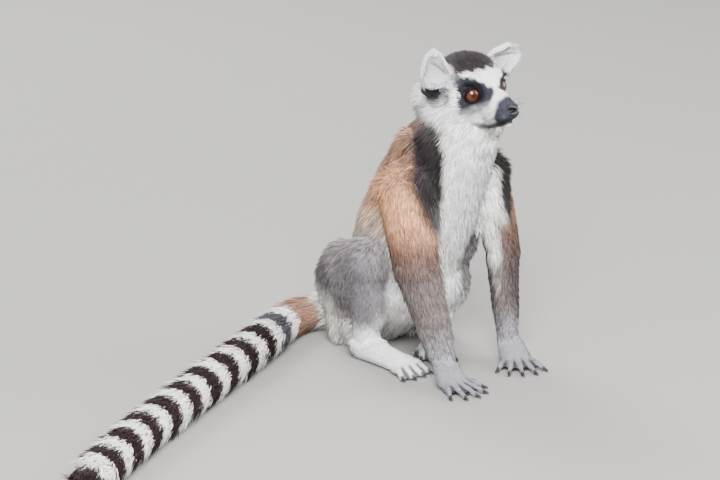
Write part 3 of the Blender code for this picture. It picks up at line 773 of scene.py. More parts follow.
def fur_material():
    """Hair, grown in tufts: keratin with a soft sheen along it, each tuft a little lighter or darker."""
    material, tree, shader = new_material("fur_tufts")
    tint = add_node(tree, "ShaderNodeAttribute", {"attribute_name": "coat"})
    place = add_node(tree, "ShaderNodeTexCoord")
    grain = {"Scale": per_metre(2.38), "Detail": 2.0}
    speckle = add_node(tree, "ShaderNodeTexNoise", grain, {"Vector": (place, "Object")})
    span = {"From Min": 0.3, "From Max": 0.7, "To Min": 0.86, "To Max": 1.12}
    shade = add_node(tree, "ShaderNodeMapRange", span, {"Value": (speckle, "Fac")})
    tinted = add_node(tree, "ShaderNodeVectorMath", {"operation": "SCALE"}, {"Scale": (shade, "Result")})
    tree.links.new(tint.outputs["Color"], tinted.inputs[0])
    tree.links.new(tinted.outputs["Vector"], shader.inputs["Base Color"])
    shader.inputs["Roughness"].default_value = 0.6
    shader.inputs["Specular IOR Level"].default_value = 0.08
    shader.inputs["Sheen Weight"].default_value = 0.02
    shader.inputs["Sheen Roughness"].default_value = 0.5
    return material


# ---------------------------------------------------------------- making meshes


def link_object(name, mesh, material):
    """Makes an object of a finished mesh that rides with the lemur."""
    piece = bpy.data.objects.new(name, mesh)
    bpy.context.scene.collection.objects.link(piece)
    mesh.materials.append(material)
    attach(piece, "root")
    return piece


def mesh_points(mesh):
    points = np.empty(len(mesh.vertices) * 3)
    mesh.vertices.foreach_get("co", points)
    return points.reshape(-1, 3)


def mesh_normals(mesh):
    normals = np.empty(len(mesh.vertices) * 3)
    mesh.vertex_normals.foreach_get("vector", normals)
    return normals.reshape(-1, 3)


def set_colours(mesh, colours):
    """Keeps linear colours on the mesh's points as the attribute coat."""
    layer = mesh.color_attributes.new("coat", "FLOAT_COLOR", "POINT")
    packed = np.ones((len(colours), 4), dtype=np.float32)
    packed[:, :3] = colours
    layer.data.foreach_set("color", packed.ravel())


def finished(bm, name):
    """Makes a smooth mesh of a bmesh, and frees it."""
    for face in bm.faces:
        face.smooth = True
    mesh = bpy.data.meshes.new(name)
    bm.to_mesh(mesh)
    bm.free()
    return mesh


def egg(bm, centre, sizes):
    """Adds a closed ellipsoid of these half sizes in millimetres, turned as the head is."""
    turn = HEAD_FRAME.to_3x3().to_4x4()
    place = Matrix.Translation(centre) @ turn @ Matrix.Diagonal((*(size * MM for size in sizes), 1))
    bmesh.ops.create_icosphere(bm, subdivisions=3, radius=1.0, matrix=place)


def add_flesh(bm):
    """Adds copies of the flesh solids, merged and swollen over the cuts between them."""
    for name in FLESH:
        node = bmesh.new()
        node.from_mesh(bpy.data.objects[name].data)
        bmesh.ops.remove_doubles(node, verts=node.verts[:], dist=1e-6)
        node.normal_update()
        moved = {vert: vert.co + vert.normal * SWELL * MM for vert in node.verts}
        for vert, place in moved.items():
            vert.co = place
        mesh = bpy.data.meshes.new("flesh")
        node.to_mesh(mesh)
        node.free()
        bm.from_mesh(mesh)
        bpy.data.meshes.remove(mesh)


def add_fill_forms(bm):
    """Adds what the solids leave out: filled eye sockets, lips, chin, throat, full shoulders and shanks."""
    for sign in SIDES.values():
        egg(bm, on_head(EYE[0] * sign, EYE[1] - 1.0, EYE[2]), (9.2, 8.8, 9.2))
        egg(bm, on_head(8.0 * sign, 46, -21.5), (5.5, 9.0, 5.5))
        egg(bm, on_head(11.0 * sign, 33, -23), (6.5, 10.0, 7.0))
        egg(bm, on_head(9.0 * sign, 28, -32), (8.0, 14.0, 6.0))
        egg(bm, on_head(37 * sign, 2, -4), (4.0, 3.0, 5.5))
        egg(bm, at(36 * sign, 91, 214), (23, 26, 44))
        egg(bm, at(42 * sign, 96, 182), (20, 26, 40))
        egg(bm, at(54 * sign, 56, 72), (18, 17, 34))
        egg(bm, at(43 * sign, 6, 36), (16, 22, 24))
    egg(bm, on_head(0, 45, -30), (7.5, 9.0, 5.0))
    egg(bm, on_head(0, 25, -37), (13.0, 17.0, 11.0))
    egg(bm, on_head(0, 12, -50), (20.0, 17.0, 16.0))


def melted(name, voxel, smoothing, triangles):
    """Runs the modifiers that melt an object's shapes into one skin, and returns the mesh."""
    obj = bpy.data.objects[name]
    remesh = obj.modifiers.new("melt", "REMESH")
    remesh.mode = "VOXEL"
    remesh.voxel_size = voxel * MM
    smooth = obj.modifiers.new("smooth", "SMOOTH")
    smooth.factor = 0.5
    smooth.iterations = smoothing
    mesh = evaluated(obj)
    fewer = obj.modifiers.new("fewer_faces", "DECIMATE")
    fewer.ratio = min(1.0, triangles / (2 * len(mesh.polygons)))
    bpy.data.meshes.remove(mesh)
    return evaluated(obj)


def evaluated(obj):
    graph = bpy.context.evaluated_depsgraph_get()
    graph.update()
    return bpy.data.meshes.new_from_object(obj.evaluated_get(graph))


def sink(mesh, points):
    """Moves the skin inwards by the coat's depth, smoothed over the skin so that no step shows."""
    edges = np.empty(len(mesh.edges) * 2, dtype=np.int64)
    mesh.edges.foreach_get("vertices", edges)
    a, b = edges.reshape(-1, 2).T
    depth = coat_depth(Survey(points))
    count = np.bincount(np.concatenate((a, b)), minlength=len(points))
    for _ in range(6):
        total = np.bincount(a, depth[b], len(points)) + np.bincount(b, depth[a], len(points))
        depth = 0.5 * depth + 0.5 * total / np.maximum(count, 1)
    survey = Survey(points)
    _, front, up = survey.head_mm.T
    mouth = (1 - rising(np.abs(up - mouth_height(front)), 0.4, 1.9)) * rising(front, 12, 18)
    mouth = mouth * survey.share("head")
    return points - mesh_normals(mesh) * (depth + SWELL + 1.1 * mouth)[:, None] * MM


def round_ears(points):
    """Draws the tips of the ears in and narrows their tops, so that they end in a round point."""
    survey = Survey(points)
    for side in SIDES:
        share = survey.shares["ear_" + side]
        root, along, sideways, _ = ear_axes(side)
        beyond = np.maximum((points - root) @ along - EAR_TOP[side] * MM, 0.0)
        points = points - (0.45 * beyond * share)[:, None] * along
        inwards = -sideways if sideways[0] * SIDES[side] > 0 else sideways
        offset = (points - root) @ inwards
        height = (points - root) @ along / MM
        narrow = EAR_NARROW[side] * np.where(offset > 0, 1.0, 0.3) * rising(height, 8, 40)
        points = points - (narrow * offset * share)[:, None] * inwards
    return points


def lid_opening(inward, rise, props):
    """How far out each place in an eye's frame lies: 1 on the edge of the opening between the lids."""
    rise = rise - OPENING_TILT * inward
    return np.hypot(inward / props.opening_width * 2, rise / props.opening_height * 2)


def open_eyes(points, props):
    """Lifts the skin round each eye into lids on the eyeball, and sinks it behind the opening."""
    survey = Survey(points)
    for side in SIDES:
        local = survey.eye_mm(side)
        inward, rise, ahead = local.T
        reach = np.linalg.norm(local, axis=1)
        opening = lid_opening(inward, rise, props)
        near = (ahead > 0) & (reach < EYE_RADIUS + 9)
        within = near & (opening < 1.0)
        lids = near & (opening >= 1.0) & (opening < 1.9)
        target = reach.copy()
        target[within] = EYE_RADIUS - 2.2
        thick = 1 - rising(opening, 1.15, 1.9)
        target[lids] = np.maximum(reach, EYE_RADIUS + 0.1 + thick)[lids]
        moved = local * (target / np.maximum(reach, 1e-6))[:, None] * MM
        back = np.array(eye_frame(side))
        placed = moved @ back[:3, :3].T + back[:3, 3]
        change = within | lids
        points[change] = placed[change]
    return points


def unwrap(piece):
    """Gives the skin a map of its own shape, named OFBake, in islands that do not overlap."""
    piece.data.uv_layers.new(name="OFBake")
    bpy.context.view_layer.objects.active = piece
    piece.select_set(True)
    bpy.ops.object.mode_set(mode="EDIT")
    bpy.ops.mesh.select_all(action="SELECT")
    bpy.ops.uv.smart_project(angle_limit=math.radians(60), island_margin=0.0008)
    bpy.ops.object.mode_set(mode="OBJECT")
    piece.select_set(False)


# ---------------------------------------------------------------- tufts

TUFT_BEND = 0.42  # how far along a bent tuft its widest place lies
PATCH_WIDTH = 0.003  # the width of a tuft's patch on the skin's map
ROOT_DEPTH = 0.4  # how far a tuft is rooted under the skin, in millimetres


class SkinSurface:
    """The finished skin as arrays, to root tufts on."""

    def __init__(self, mesh):
        mesh.calc_loop_triangles()
        self.points = mesh_points(mesh)
        self.normals = mesh_normals(mesh)
        triangles = np.empty(len(mesh.loop_triangles) * 3, dtype=np.int64)
        mesh.loop_triangles.foreach_get("vertices", triangles)
        self.triangles = triangles.reshape(-1, 3)
        loops = np.empty(len(mesh.loop_triangles) * 3, dtype=np.int64)
        mesh.loop_triangles.foreach_get("loops", loops)
        uv = np.empty(len(mesh.loops) * 2)
        mesh.uv_layers["OFBake"].data.foreach_get("uv", uv)
        self.uv = uv.reshape(-1, 2)[loops.reshape(-1, 3)]
        corners = self.points[self.triangles]
        sides = corners[:, 1:] - corners[:, :1]
        self.areas = 0.5 * np.linalg.norm(np.cross(sides[:, 0], sides[:, 1]), axis=1)
        self.survey = Survey(corners.mean(axis=1))

    def roots(self, weights, count, random):
        """Scattered places on the skin: points, normals and map places, more where weights are larger."""
        chance = self.areas * weights
        chosen = random.choice(len(chance), size=count, p=chance / chance.sum())
        mix = random.random((count, 2))
        flip = mix.sum(axis=1) > 1
        mix[flip] = 1 - mix[flip]
        mix = np.column_stack((1 - mix.sum(axis=1), mix))[:, :, None]
        corners = self.triangles[chosen]
        points = (self.points[corners] * mix).sum(axis=1)
        normals = (self.normals[corners] * mix).sum(axis=1)
        normals /= np.linalg.norm(normals, axis=1)[:, None]
        return points, normals, (self.uv[chosen] * mix).sum(axis=1)


def kept_bare(survey, props):
    """True over an eye's opening and its lid margins and between the lips, where no tuft is rooted."""
    _, front, up = survey.head_mm.T
    bare = (np.abs(up - mouth_height(front)) < 0.8) & (front > 15) & (survey.share("head") > 0.5)
    for side in SIDES:
        inward, rise, ahead = survey.eye_mm(side).T
        bare |= (ahead > 0) & (ahead < 16) & (lid_opening(inward, rise, props) < 1.22)
    return bare


def tuft_mesh(name, roots, tips, sags, sides, widths, colours, uv, bent, normals=None):
    """One mesh of many thin closed tufts.

    A bent tuft is a spindle that sags between its root and its tip. A short one is a cone.
    """
    count = len(roots)
    ways = tips - roots
    ways /= np.linalg.norm(ways, axis=1)[:, None]
    across = sides - ways * np.sum(sides * ways, axis=1)[:, None]
    across /= np.linalg.norm(across, axis=1)[:, None]
    over = np.cross(ways, across)
    middle = roots + (tips - roots) * TUFT_BEND + sags if bent else roots
    angles = [math.radians(degrees) for degrees in (90, 210, 330)]
    around = [across * math.cos(angle) + over * math.sin(angle) for angle in angles]
    ring = np.stack([way * widths[:, None] / 2 for way in around], axis=1)
    layers = [middle[:, None] + ring, tips[:, None]]
    faces = [(0, 1, 3), (1, 2, 3), (2, 0, 3)]
    # Painted shade darkens a tuft at its root, and a painted highlight lightens its tip
    shade = [0.94, 0.94, 0.94, 1.06] if bent else [0.8, 0.8, 0.8, 1.06]
    if bent:
        layers.append(roots[:, None])
        faces += [(1, 0, 4), (2, 1, 4), (0, 2, 4)]
        shade.append(0.74)
    else:
        faces.append((0, 2, 1))
    points = np.concatenate(layers, axis=1)
    each = points.shape[1]
    corners = (np.arange(count)[:, None, None] * each + np.array(faces)[None]).reshape(-1)
    mesh = bpy.data.meshes.new(name)
    mesh.vertices.add(count * each)
    mesh.vertices.foreach_set("co", points.reshape(-1).astype(np.float32))
    mesh.loops.add(len(corners))
    mesh.loops.foreach_set("vertex_index", corners.astype(np.int32))
    mesh.polygons.add(len(corners) // 3)
    mesh.polygons.foreach_set("loop_start", np.arange(0, len(corners), 3, dtype=np.int32))
    mesh.update(calc_edges=True)
    # The painted shade at the roots is weaker on white hair, which passes light on
    depth = 1 - 0.75 * colours.min(axis=1)[:, None, None]
    coat_with_painted_shade = colours[:, None] * np.array(shade)[None, :, None] ** depth
    set_colours(mesh, np.clip(coat_with_painted_shade, 0, 0.97).reshape(-1, 3))
    patch = np.array([(-1, -1), (1, -1), (0, 1), (0, 0), (0.3, -0.6)])[:each] * PATCH_WIDTH / 2
    places = np.clip(uv, 0.002, 0.998)[:, None] + patch[None]
    layer = mesh.uv_layers.new(name="OFBake")
    layer.data.foreach_set("uv", places.reshape(-1, 2)[corners].astype(np.float32).reshape(-1))
    mesh.polygons.foreach_set("use_smooth", np.ones(len(corners) // 3, dtype=bool))
    if normals is not None:
        # Light falls on the coat as on the body under it, with a little of each tuft's own roundness
        own = [ring * (2 / widths)[:, None, None], ways[:, None], -ways[:, None]]
        shown = np.concatenate(own, axis=1)[:, :each] * 0.45 + normals[:, None]
        shown /= np.linalg.norm(shown, axis=2)[:, :, None]
        mesh.normals_split_custom_set_from_vertices(shown.reshape(-1, 3))
    return mesh


def grow_coat(name, surface, region, count, props, width, bent, seed, density=None):
    """Grows one piece of the coat on the part of the skin whose bones begin with these names."""
    random = np.random.default_rng(seed)
    survey = surface.survey
    weights = sum(survey.share(start) for start in region) * ~kept_bare(survey, props)
    weights = np.where(weights > 0.03, weights, 0) * (1 if density is None else density(survey))
    points, normals, uv = surface.roots(weights, count, random)
    here = Survey(points)
    lengths = coat_length(here) * (0.75 + 0.5 * random.random(count)) * props.coat_length
    rise = np.clip(coat_depth(here) / np.maximum(coat_length(here), 1e-3), 0.12, 0.62)
    rise = np.clip(rise * (0.55 + 0.6 * random.random(count)) + 0.15 * ruff(here), 0.08, 0.85)
    lengths += 3.5 * ear_rim(here, normals) * random.random(count)
    # Each hair strays a little on its own, and with its neighbours in a lock
    way = lie_of_coat(here, normals)
    stray = random.normal(scale=0.13, size=(count, 3))
    stray = stray + 0.16 * np.column_stack([waves(points, 16, seed + k) for k in (11, 12, 13)])
    way = way + stray - normals * np.sum(stray * normals, axis=1)[:, None]
    way /= np.linalg.norm(way, axis=1)[:, None]
    lean = way * np.sqrt(1 - rise**2)[:, None] + normals * rise[:, None]
    roots = points - normals * ROOT_DEPTH * MM
    tips = roots + lean * lengths[:, None] * MM
    tips[:, 2] = np.maximum(tips[:, 2], 0.6 * MM)
    sags = normals * (lengths * 0.10)[:, None] * MM
    side = np.cross(way, normals)
    widths = width * MM * (0.7 + 0.6 * random.random(count)) * np.clip(lengths / 9.0, 0.35, 1.0)
    shown = Survey(roots * 0.45 + tips * 0.55)
    colours = coat_colours(shown, normals) * grizzle(here, random, count)[:, None]
    mesh = tuft_mesh(name, roots, tips, sags, side, widths, np.clip(colours, 0, 0.95), uv, bent, normals)
    return link_object(name, mesh, bpy.data.materials["fur_tufts"])


def grizzle(survey, random, count):
    """Each tuft's own lightness: even on white fur, salt and pepper on the cap, arms and back."""
    mixed = sum(survey.share(start) for start in ("upper_arm", "forearm", "thigh", "trunk"))
    crown = survey.share("head") * rising(survey.head_mm[:, 2], 14, 22)
    mixed = np.clip(mixed + crown, 0, 1)
    spread = 0.06 + 0.26 * mixed
    mottle = (0.03 + 0.12 * mixed) * waves(survey.points, 7, 21)
    return np.clip(1 + mottle + spread * random.normal(size=count), 0.5, 1.6)


# ---------------------------------------------------------------- properties


class LemurCoatProps(bpy.types.PropertyGroup):
    coat_length: FloatProperty(
        name="Coat length", description="Length of all hairs, as a factor",
        default=1.0, min=0.5, max=1.5, subtype="FACTOR",
    )
    tuft_width: FloatProperty(
        name="Tuft width", description="Width of a body tuft at its widest, in millimetres",
        default=1.3, min=0.5, max=4.0,
    )
    opening_width: FloatProperty(
        name="Eye opening", description="Width of the opening between the lids, in millimetres",
        default=14.8, min=8.0, max=16.0,
    )
    opening_height: FloatProperty(
        name="Eye height", description="Height of the opening between the lids, in millimetres",
        default=13.6, min=6.0, max=15.0,
    )
    voxel: FloatProperty(
        name="Skin grain", description="Size of the steps that the skin is melted with, in millimetres",
        default=1.4, min=1.0, max=4.0,
    )
    skin_triangles: IntProperty(
        name="Skin faces", description="Triangles that the skin keeps",
        default=190000, min=20000, max=199000,
    )


class LemurEyeProps(bpy.types.PropertyGroup):
    iris: FloatVectorProperty(
        name="Iris", description="Colour of the iris",
        subtype="COLOR", size=3, default=linear("471A0A"), min=0.0, max=1.0,
    )
    pupil: FloatProperty(
        name="Pupil", description="Width of the pupil, in millimetres",
        default=3.4, min=1.0, max=9.0,
    )


class LemurStageProps(bpy.types.PropertyGroup):
    floor: FloatVectorProperty(
        name="Floor", description="Colour of the floor",
        subtype="COLOR", size=3, default=linear("8E8C88"), min=0.0, max=1.0,
    )
    light: FloatProperty(
        name="Light", description="Strength of all lights, as a factor",
        default=1.0, min=0.1, max=4.0, subtype="FACTOR",
    )


# ---------------------------------------------------------------- operators


class LEMUR_OT_skin(bpy.types.Operator):
    """Melts the flesh solids into one skin that lies under the coat"""

    bl_idname = "lemur.skin"
    bl_label = "Skin"

    def execute(self, context):
        props = context.scene.lemur_coat
        missing = [name for name in FLESH if name not in bpy.data.objects]
        if missing:
            raise RuntimeError("The skin needs the solids " + ", ".join(missing))
        bm = bmesh.new()
        add_flesh(bm)
        add_fill_forms(bm)
        mesh = bpy.data.meshes.new("skin_forms")
        bm.to_mesh(mesh)
        bm.free()
        forms = bpy.data.objects.new("skin_forms", mesh)
        context.scene.collection.objects.link(forms)
        skin = melted("skin_forms", props.voxel, 8, props.skin_triangles)
        bpy.data.objects.remove(forms)
        skin.name = "skin"
        points = open_eyes(round_ears(sink(skin, mesh_points(skin))), props)
        points[:, 2] = np.maximum(points[:, 2], 0.0002)
        skin.vertices.foreach_set("co", points.ravel())
        skin.update()
        set_colours(skin, coat_colours(Survey(points), mesh_normals(skin)) * 0.8)
        skin.polygons.foreach_set("use_smooth", np.ones(len(skin.polygons), dtype=bool))
        piece = link_object("skin", skin, skin_material())
        unwrap(piece)
        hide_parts(*FLESH)
        return {"FINISHED"}


class LEMUR_OT_coat(bpy.types.Operator):
    """Roots the tufts of the coat on the skin, in pieces"""

    bl_idname = "lemur.coat"
    bl_label = "Coat"

    def execute(self, context):
        props = context.scene.lemur_coat
        if "skin" not in bpy.data.objects:
            raise RuntimeError("The coat is rooted on the skin, so the skin comes first")
        surface = SkinSurface(bpy.data.objects["skin"].data)
        fur_material()
        width = props.tuft_width
        grow_coat("face_coat", surface, ("head",), 36000, props, 1.0, False, 1, face_density)
        grow_coat("ruff_coat", surface, ("head",), 22000, props, 1.2, True, 14, ruff_density)
        grow_coat("ear_coat", surface, ("ear",), 13000, props, 0.9, True, 2)
        grow_coat("front_coat", surface, ("trunk",), 31000, props, width, True, 3, front_density)
        grow_coat("back_coat", surface, ("trunk",), 22500, props, width, True, 4, back_density)
        limbs = (
            ("upper_arm", ("upper_arm_",), 13500, width, 5, "upper_arm"),
            ("forearm", ("forearm_", "hand_"), 15000, 1.15, 7, "forearm"),
            ("thigh", ("thigh_",), 13000, width, 9, "leg"),
            ("shank", ("shank_", "foot_"), 12000, 1.15, 11, "leg"),
        )
        for i, side in enumerate(SIDES):
            for name, starts, count, wide, seed, slot in limbs:
                region = [start + side for start in starts]
                grow_coat(name + "_coat_" + side, surface, region, count, props, wide, True, seed + i)
        grow_coat("tail_coat", surface, ("tail",), 30500, props, 1.2, True, 13)
        return {"FINISHED"}


def face_density(survey):
    """Only the face, where the hair is short."""
    return face_forwards(survey) * (1 + rising(survey.head_mm[:, 1], 10, 20))


def ruff_density(survey):
    """The rest of the head: crown, cheeks, nape and throat."""
    return 1 - 0.97 * face_forwards(survey)


def front_density(survey):
    """Only the front half of the trunk: chest and belly."""
    return (trunk_front(survey) >= 0).astype(float)


def back_density(survey):
    """Only the back half of the trunk."""
    return (trunk_front(survey) < 0).astype(float)


class LEMUR_OT_eyes(bpy.types.Operator):
    """Makes the eyeballs with their corneas, and the dark rims of the lids"""

    bl_idname = "lemur.eyes"
    bl_label = "Eyes"

    def execute(self, context):
        props = context.scene.lemur_eye
        ball = eye_material(props)
        rim = rim_material()
        coat = context.scene.lemur_coat
        for side in SIDES:
            make_eye(side, ball)
            make_lid_rim(side, rim, coat)
        return {"FINISHED"}


def shaded(colour, factor):
    """A linear colour made lighter or darker."""
    return tuple(min(1.0, part * factor) for part in colour)


def eye_material(props):
    """A wet eye: clear smooth cornea over an amber iris with radial fibres, a round pupil and a dark rim."""
    material, tree, shader = new_material("wet_eye")
    place = add_node(tree, "ShaderNodeUVMap", {"uv_map": "face_on"})
    centred = add_node(tree, "ShaderNodeVectorMath", {"operation": "SUBTRACT"}, {0: (place, "UV")})
    centred.inputs[1].default_value = (0.5, 0.5, 0.0)
    radius = add_node(tree, "ShaderNodeVectorMath", {"operation": "LENGTH"}, {0: (centred, "Vector")})
    way = add_node(tree, "ShaderNodeVectorMath", {"operation": "NORMALIZE"}, {0: (centred, "Vector")})
    fibres = add_node(tree, "ShaderNodeTexNoise", {"Scale": 9.0, "Detail": 4.0}, {"Vector": (way, "Vector")})
    # The ramp's places are distances from the pupil's middle as shares of the map's width
    ramp = add_node(tree, "ShaderNodeValToRGB", {}, {"Fac": (radius, "Value")})
    half = props.pupil / 2 / EYE_MAP_WIDTH
    iris = tuple(props.iris)
    pupil = (0.002, 0.002, 0.002)
    stops = (
        (0.0, pupil), (half, pupil), (half + 0.02, shaded(iris, 0.5)), (half + 0.08, shaded(iris, 1.25)),
        (0.3, iris), (0.34, shaded(iris, 0.3)), (0.365, (0.01, 0.007, 0.006)), (1.0, (0.02, 0.015, 0.012)),
    )
    band = ramp.color_ramp
    while len(band.elements) < len(stops):
        band.elements.new(0.5)
    for element, (spot, colour) in zip(band.elements, stops):
        element.position = spot
        element.color = (*colour, 1.0)
    streaks = {"From Min": 0.35, "From Max": 0.65, "To Min": 0.6, "To Max": 1.3}
    shade = add_node(tree, "ShaderNodeMapRange", streaks, {"Value": (fibres, "Fac")})
    sources = {0: (ramp, "Color"), "Scale": (shade, "Result")}
    tinted = add_node(tree, "ShaderNodeVectorMath", {"operation": "SCALE"}, sources)
    tree.links.new(tinted.outputs["Vector"], shader.inputs["Base Color"])
    shader.inputs["Roughness"].default_value = 0.25
    shader.inputs["IOR"].default_value = 1.38
    shader.inputs["Coat Weight"].default_value = 0.55
    shader.inputs["Specular IOR Level"].default_value = 0.25
    shader.inputs["Coat Roughness"].default_value = 0.02
    return material


def rim_material():
    """The naked margin of a lid: moist black skin, a little shiny."""
    material, tree, shader = new_material("moist_lid_skin")
    place = add_node(tree, "ShaderNodeTexCoord")
    grain = {"Scale": per_metre(0.667), "Detail": 2.0}
    wrinkles = add_node(tree, "ShaderNodeTexNoise", grain, {"Vector": (place, "Object")})
    depth = {"Strength": 0.3, "Distance": 0.3 * MM}
    bump = add_node(tree, "ShaderNodeBump", depth, {"Height": (wrinkles, "Fac")})
    tree.links.new(bump.outputs["Normal"], shader.inputs["Normal"])
    shader.inputs["Base Color"].default_value = (*linear(BLACK), 1.0)
    shader.inputs["Roughness"].default_value = 0.5
    shader.inputs["Specular IOR Level"].default_value = 0.1
    return material


def make_eye(side, material):
    """An eyeball with a bulging cornea in front and a map that looks straight at it."""
    bm = bmesh.new()
    bmesh.ops.create_uvsphere(bm, u_segments=64, v_segments=48, radius=EYE_RADIUS * MM)
    layer = bm.loops.layers.uv.new("face_on")
    for vert in bm.verts:
        if vert.co.z > 0:
            off = math.hypot(vert.co.x, vert.co.y) / MM
            vert.co *= 1 + 0.05 * max(0.0, 1 - off / 6.4) ** 1.5
    for face in bm.faces:
        for loop in face.loops:
            spot = loop.vert.co / MM
            away = Vector((spot.x, spot.y)) / EYE_MAP_WIDTH
            if spot.z < 0:
                away = away.normalized() * 0.49 if away.length > 1e-6 else Vector((0.49, 0))
            loop[layer].uv = Vector((0.5, 0.5)) + away
    bmesh.ops.transform(bm, matrix=eye_frame(side), verts=bm.verts[:])
    if SIDES[side] > 0:
        bmesh.ops.reverse_faces(bm, faces=bm.faces[:])
    bmesh.ops.recalc_face_normals(bm, faces=bm.faces[:])
    name = "eyeball_" + side
    piece = link_object(name, finished(bm, name), material)
    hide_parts("eye_" + side)


def make_lid_rim(side, material, props):
    """A slim ring that lies on the eyeball round the opening, thicker above than below."""
    bm = bmesh.new()
    turns, sides = 56, 8
    rings = []
    for i in range(turns):
        angle = math.tau * i / turns
        x = 0.5 * props.opening_width * math.cos(angle)
        y = 0.5 * props.opening_height * math.sin(angle)
        y += OPENING_TILT * x
        z = math.sqrt(max(EYE_RADIUS**2 - x * x - y * y, 0.0))
        centre = Vector((x, y, z)) * (1 + 0.35 / EYE_RADIUS)
        outward = Vector((x, y, z)).normalized()
        tangent = Vector((-math.sin(angle) * props.opening_width, math.cos(angle) * props.opening_height, 0))
        tangent.normalize()
        tangent = (tangent - outward * tangent.dot(outward)).normalized()
        along_lid = outward.cross(tangent)
        thick = 0.95 + 0.45 * max(0.0, math.sin(angle))
        ring = []
        for k in range(sides):
            turn = math.tau * k / sides
            off = along_lid * math.cos(turn) * 1.15 + outward * math.sin(turn)
            ring.append(bm.verts.new((centre + off * thick) * MM))
        rings.append(ring)
    for ring, after in zip(rings, rings[1:] + rings[:1]):
        for k in range(sides):
            bm.faces.new((ring[k], ring[(k + 1) % sides], after[(k + 1) % sides], after[k]))
    bmesh.ops.transform(bm, matrix=eye_frame(side), verts=bm.verts[:])
    bmesh.ops.recalc_face_normals(bm, faces=bm.faces[:])
    name = "lid_rim_" + side
    link_object(name, finished(bm, name), material)


# The nose pad's width, depth and height in millimetres, halved
NOSE_HALVES = (7.4, 7.6, 6.2)
# The dents that join into a nostril, from its front outwards: place across and up, width, depth
NOSTRIL_DENTS = ((4.5, 1.1, 3.3, 5.0), (6.2, 0.1, 2.0, 3.0), (7.1, -1.8, 1.2, 1.8))


def nose_place(side, back, up):
    """Where a point of a unit ball goes on the nose pad, in millimetres, and how deep in a nostril it is."""
    wide, deep, high = NOSE_HALVES
    place = Vector((side * wide * (1 + 0.12 * up), -back * deep, up * high))
    across = abs(place.x)
    if place.y <= 0:
        return place, 0.0
    hollow = 0.0
    for spot_across, spot_up, spread, depth in NOSTRIL_DENTS:
        gap = math.hypot(across - spot_across, (place.z - spot_up) * 1.15)
        dent = math.exp(-((gap / spread) ** 3))
        place *= 1 - 0.1 * depth * dent
        hollow = max(hollow, dent)
    # A shallow groove down the middle, below the nostrils' bridge
    if place.z < 1.5:
        place *= 1 - 0.07 * math.exp(-((across / 0.7) ** 2))
    return place, hollow


class LEMUR_OT_nose(bpy.types.Operator):
    """Models the bare nose pad with its comma-shaped nostrils"""

    bl_idname = "lemur.nose"
    bl_label = "Nose"

    def execute(self, context):
        bm = bmesh.new()
        bmesh.ops.create_uvsphere(bm, u_segments=72, v_segments=54, radius=1.0)
        hollows = []
        for vert in bm.verts:
            place, hollow = nose_place(*vert.co)
            vert.co = on_head(place.x, NOSE[1] + place.y, NOSE[2] + place.z)
            hollows.append(hollow)
        bmesh.ops.recalc_face_normals(bm, faces=bm.faces[:])
        mesh = finished(bm, "nose_pad")
        hollows = np.array(hollows)
        # Painted highlight round each nostril's rim, and painted shade deep inside it
        rim = rising(hollows, 0.01, 0.08) * (1 - rising(hollows, 0.1, 0.3))
        inside = rising(hollows, 0.12, 0.4)
        pad = plain_colours(NOSE_PAD, len(hollows))
        set_colours(mesh, layered(pad, (NOSTRIL_RIM_PAINTED_HIGHLIGHT, rim), (NOSTRIL_PAINTED_SHADE, inside)))
        piece = link_object("nose_pad", mesh, nose_material())
        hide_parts("nose")
        return {"FINISHED"}


def nose_material():
    """A bare nose pad: black pebbled skin kept moist, so it shines softly."""
    material, tree, shader = new_material("moist_nose_leather")
    place = add_node(tree, "ShaderNodeTexCoord")
    size = {"Scale": per_metre(0.714)}
    pebbles = add_node(tree, "ShaderNodeTexVoronoi", size, {"Vector": (place, "Object")})
    depth = {"Strength": 0.35, "Distance": 0.4 * MM}
    bump = add_node(tree, "ShaderNodeBump", depth, {"Height": (pebbles, "Distance")})
    tint = add_node(tree, "ShaderNodeAttribute", {"attribute_name": "coat"})
    tree.links.new(tint.outputs["Color"], shader.inputs["Base Color"])
    tree.links.new(bump.outputs["Normal"], shader.inputs["Normal"])
    shader.inputs["Roughness"].default_value = 0.5
    shader.inputs["Specular IOR Level"].default_value = 0.3
    return material


class LEMUR_OT_claws(bpy.types.Operator):
    """Puts a small dark nail on each finger and toe"""

    bl_idname = "lemur.claws"
    bl_label = "Nails"

    def execute(self, context):
        bm = bmesh.new()
        for side in SIDES:
            for root, heading, length, thickness in digits(side):
                tip, along = digit_tip(root, heading, length, thickness)
                middle = tip + along * 2.0 * MM + Vector((0, 0, 1.2)) * MM
                turn = Matrix.Rotation(heading, 4, "Z") @ Matrix.Rotation(math.radians(28), 4, "X")
                scale = Matrix.Diagonal((1.6 * MM, 2.8 * MM, 0.8 * MM, 1))
                place = Matrix.Translation(middle) @ turn @ scale
                bmesh.ops.create_icosphere(bm, subdivisions=2, radius=1.0, matrix=place)
        link_object("nails", finished(bm, "nails"), nail_material())
        return {"FINISHED"}


def nail_material():
    """Nails of dark horn, grown in layers: smooth, with a faint grain along them."""
    material, tree, shader = new_material("dark_horn_nail")
    place = add_node(tree, "ShaderNodeTexCoord")
    layers = {"Scale": per_metre(0.833), "Detail": 2.0}
    grain = add_node(tree, "ShaderNodeTexNoise", layers, {"Vector": (place, "Object")})
    span = {"To Min": 0.35, "To Max": 0.5}
    rough = add_node(tree, "ShaderNodeMapRange", span, {"Value": (grain, "Fac")})
    tree.links.new(rough.outputs["Result"], shader.inputs["Roughness"])
    shader.inputs["Base Color"].default_value = (*linear(NAIL), 1.0)
    return material


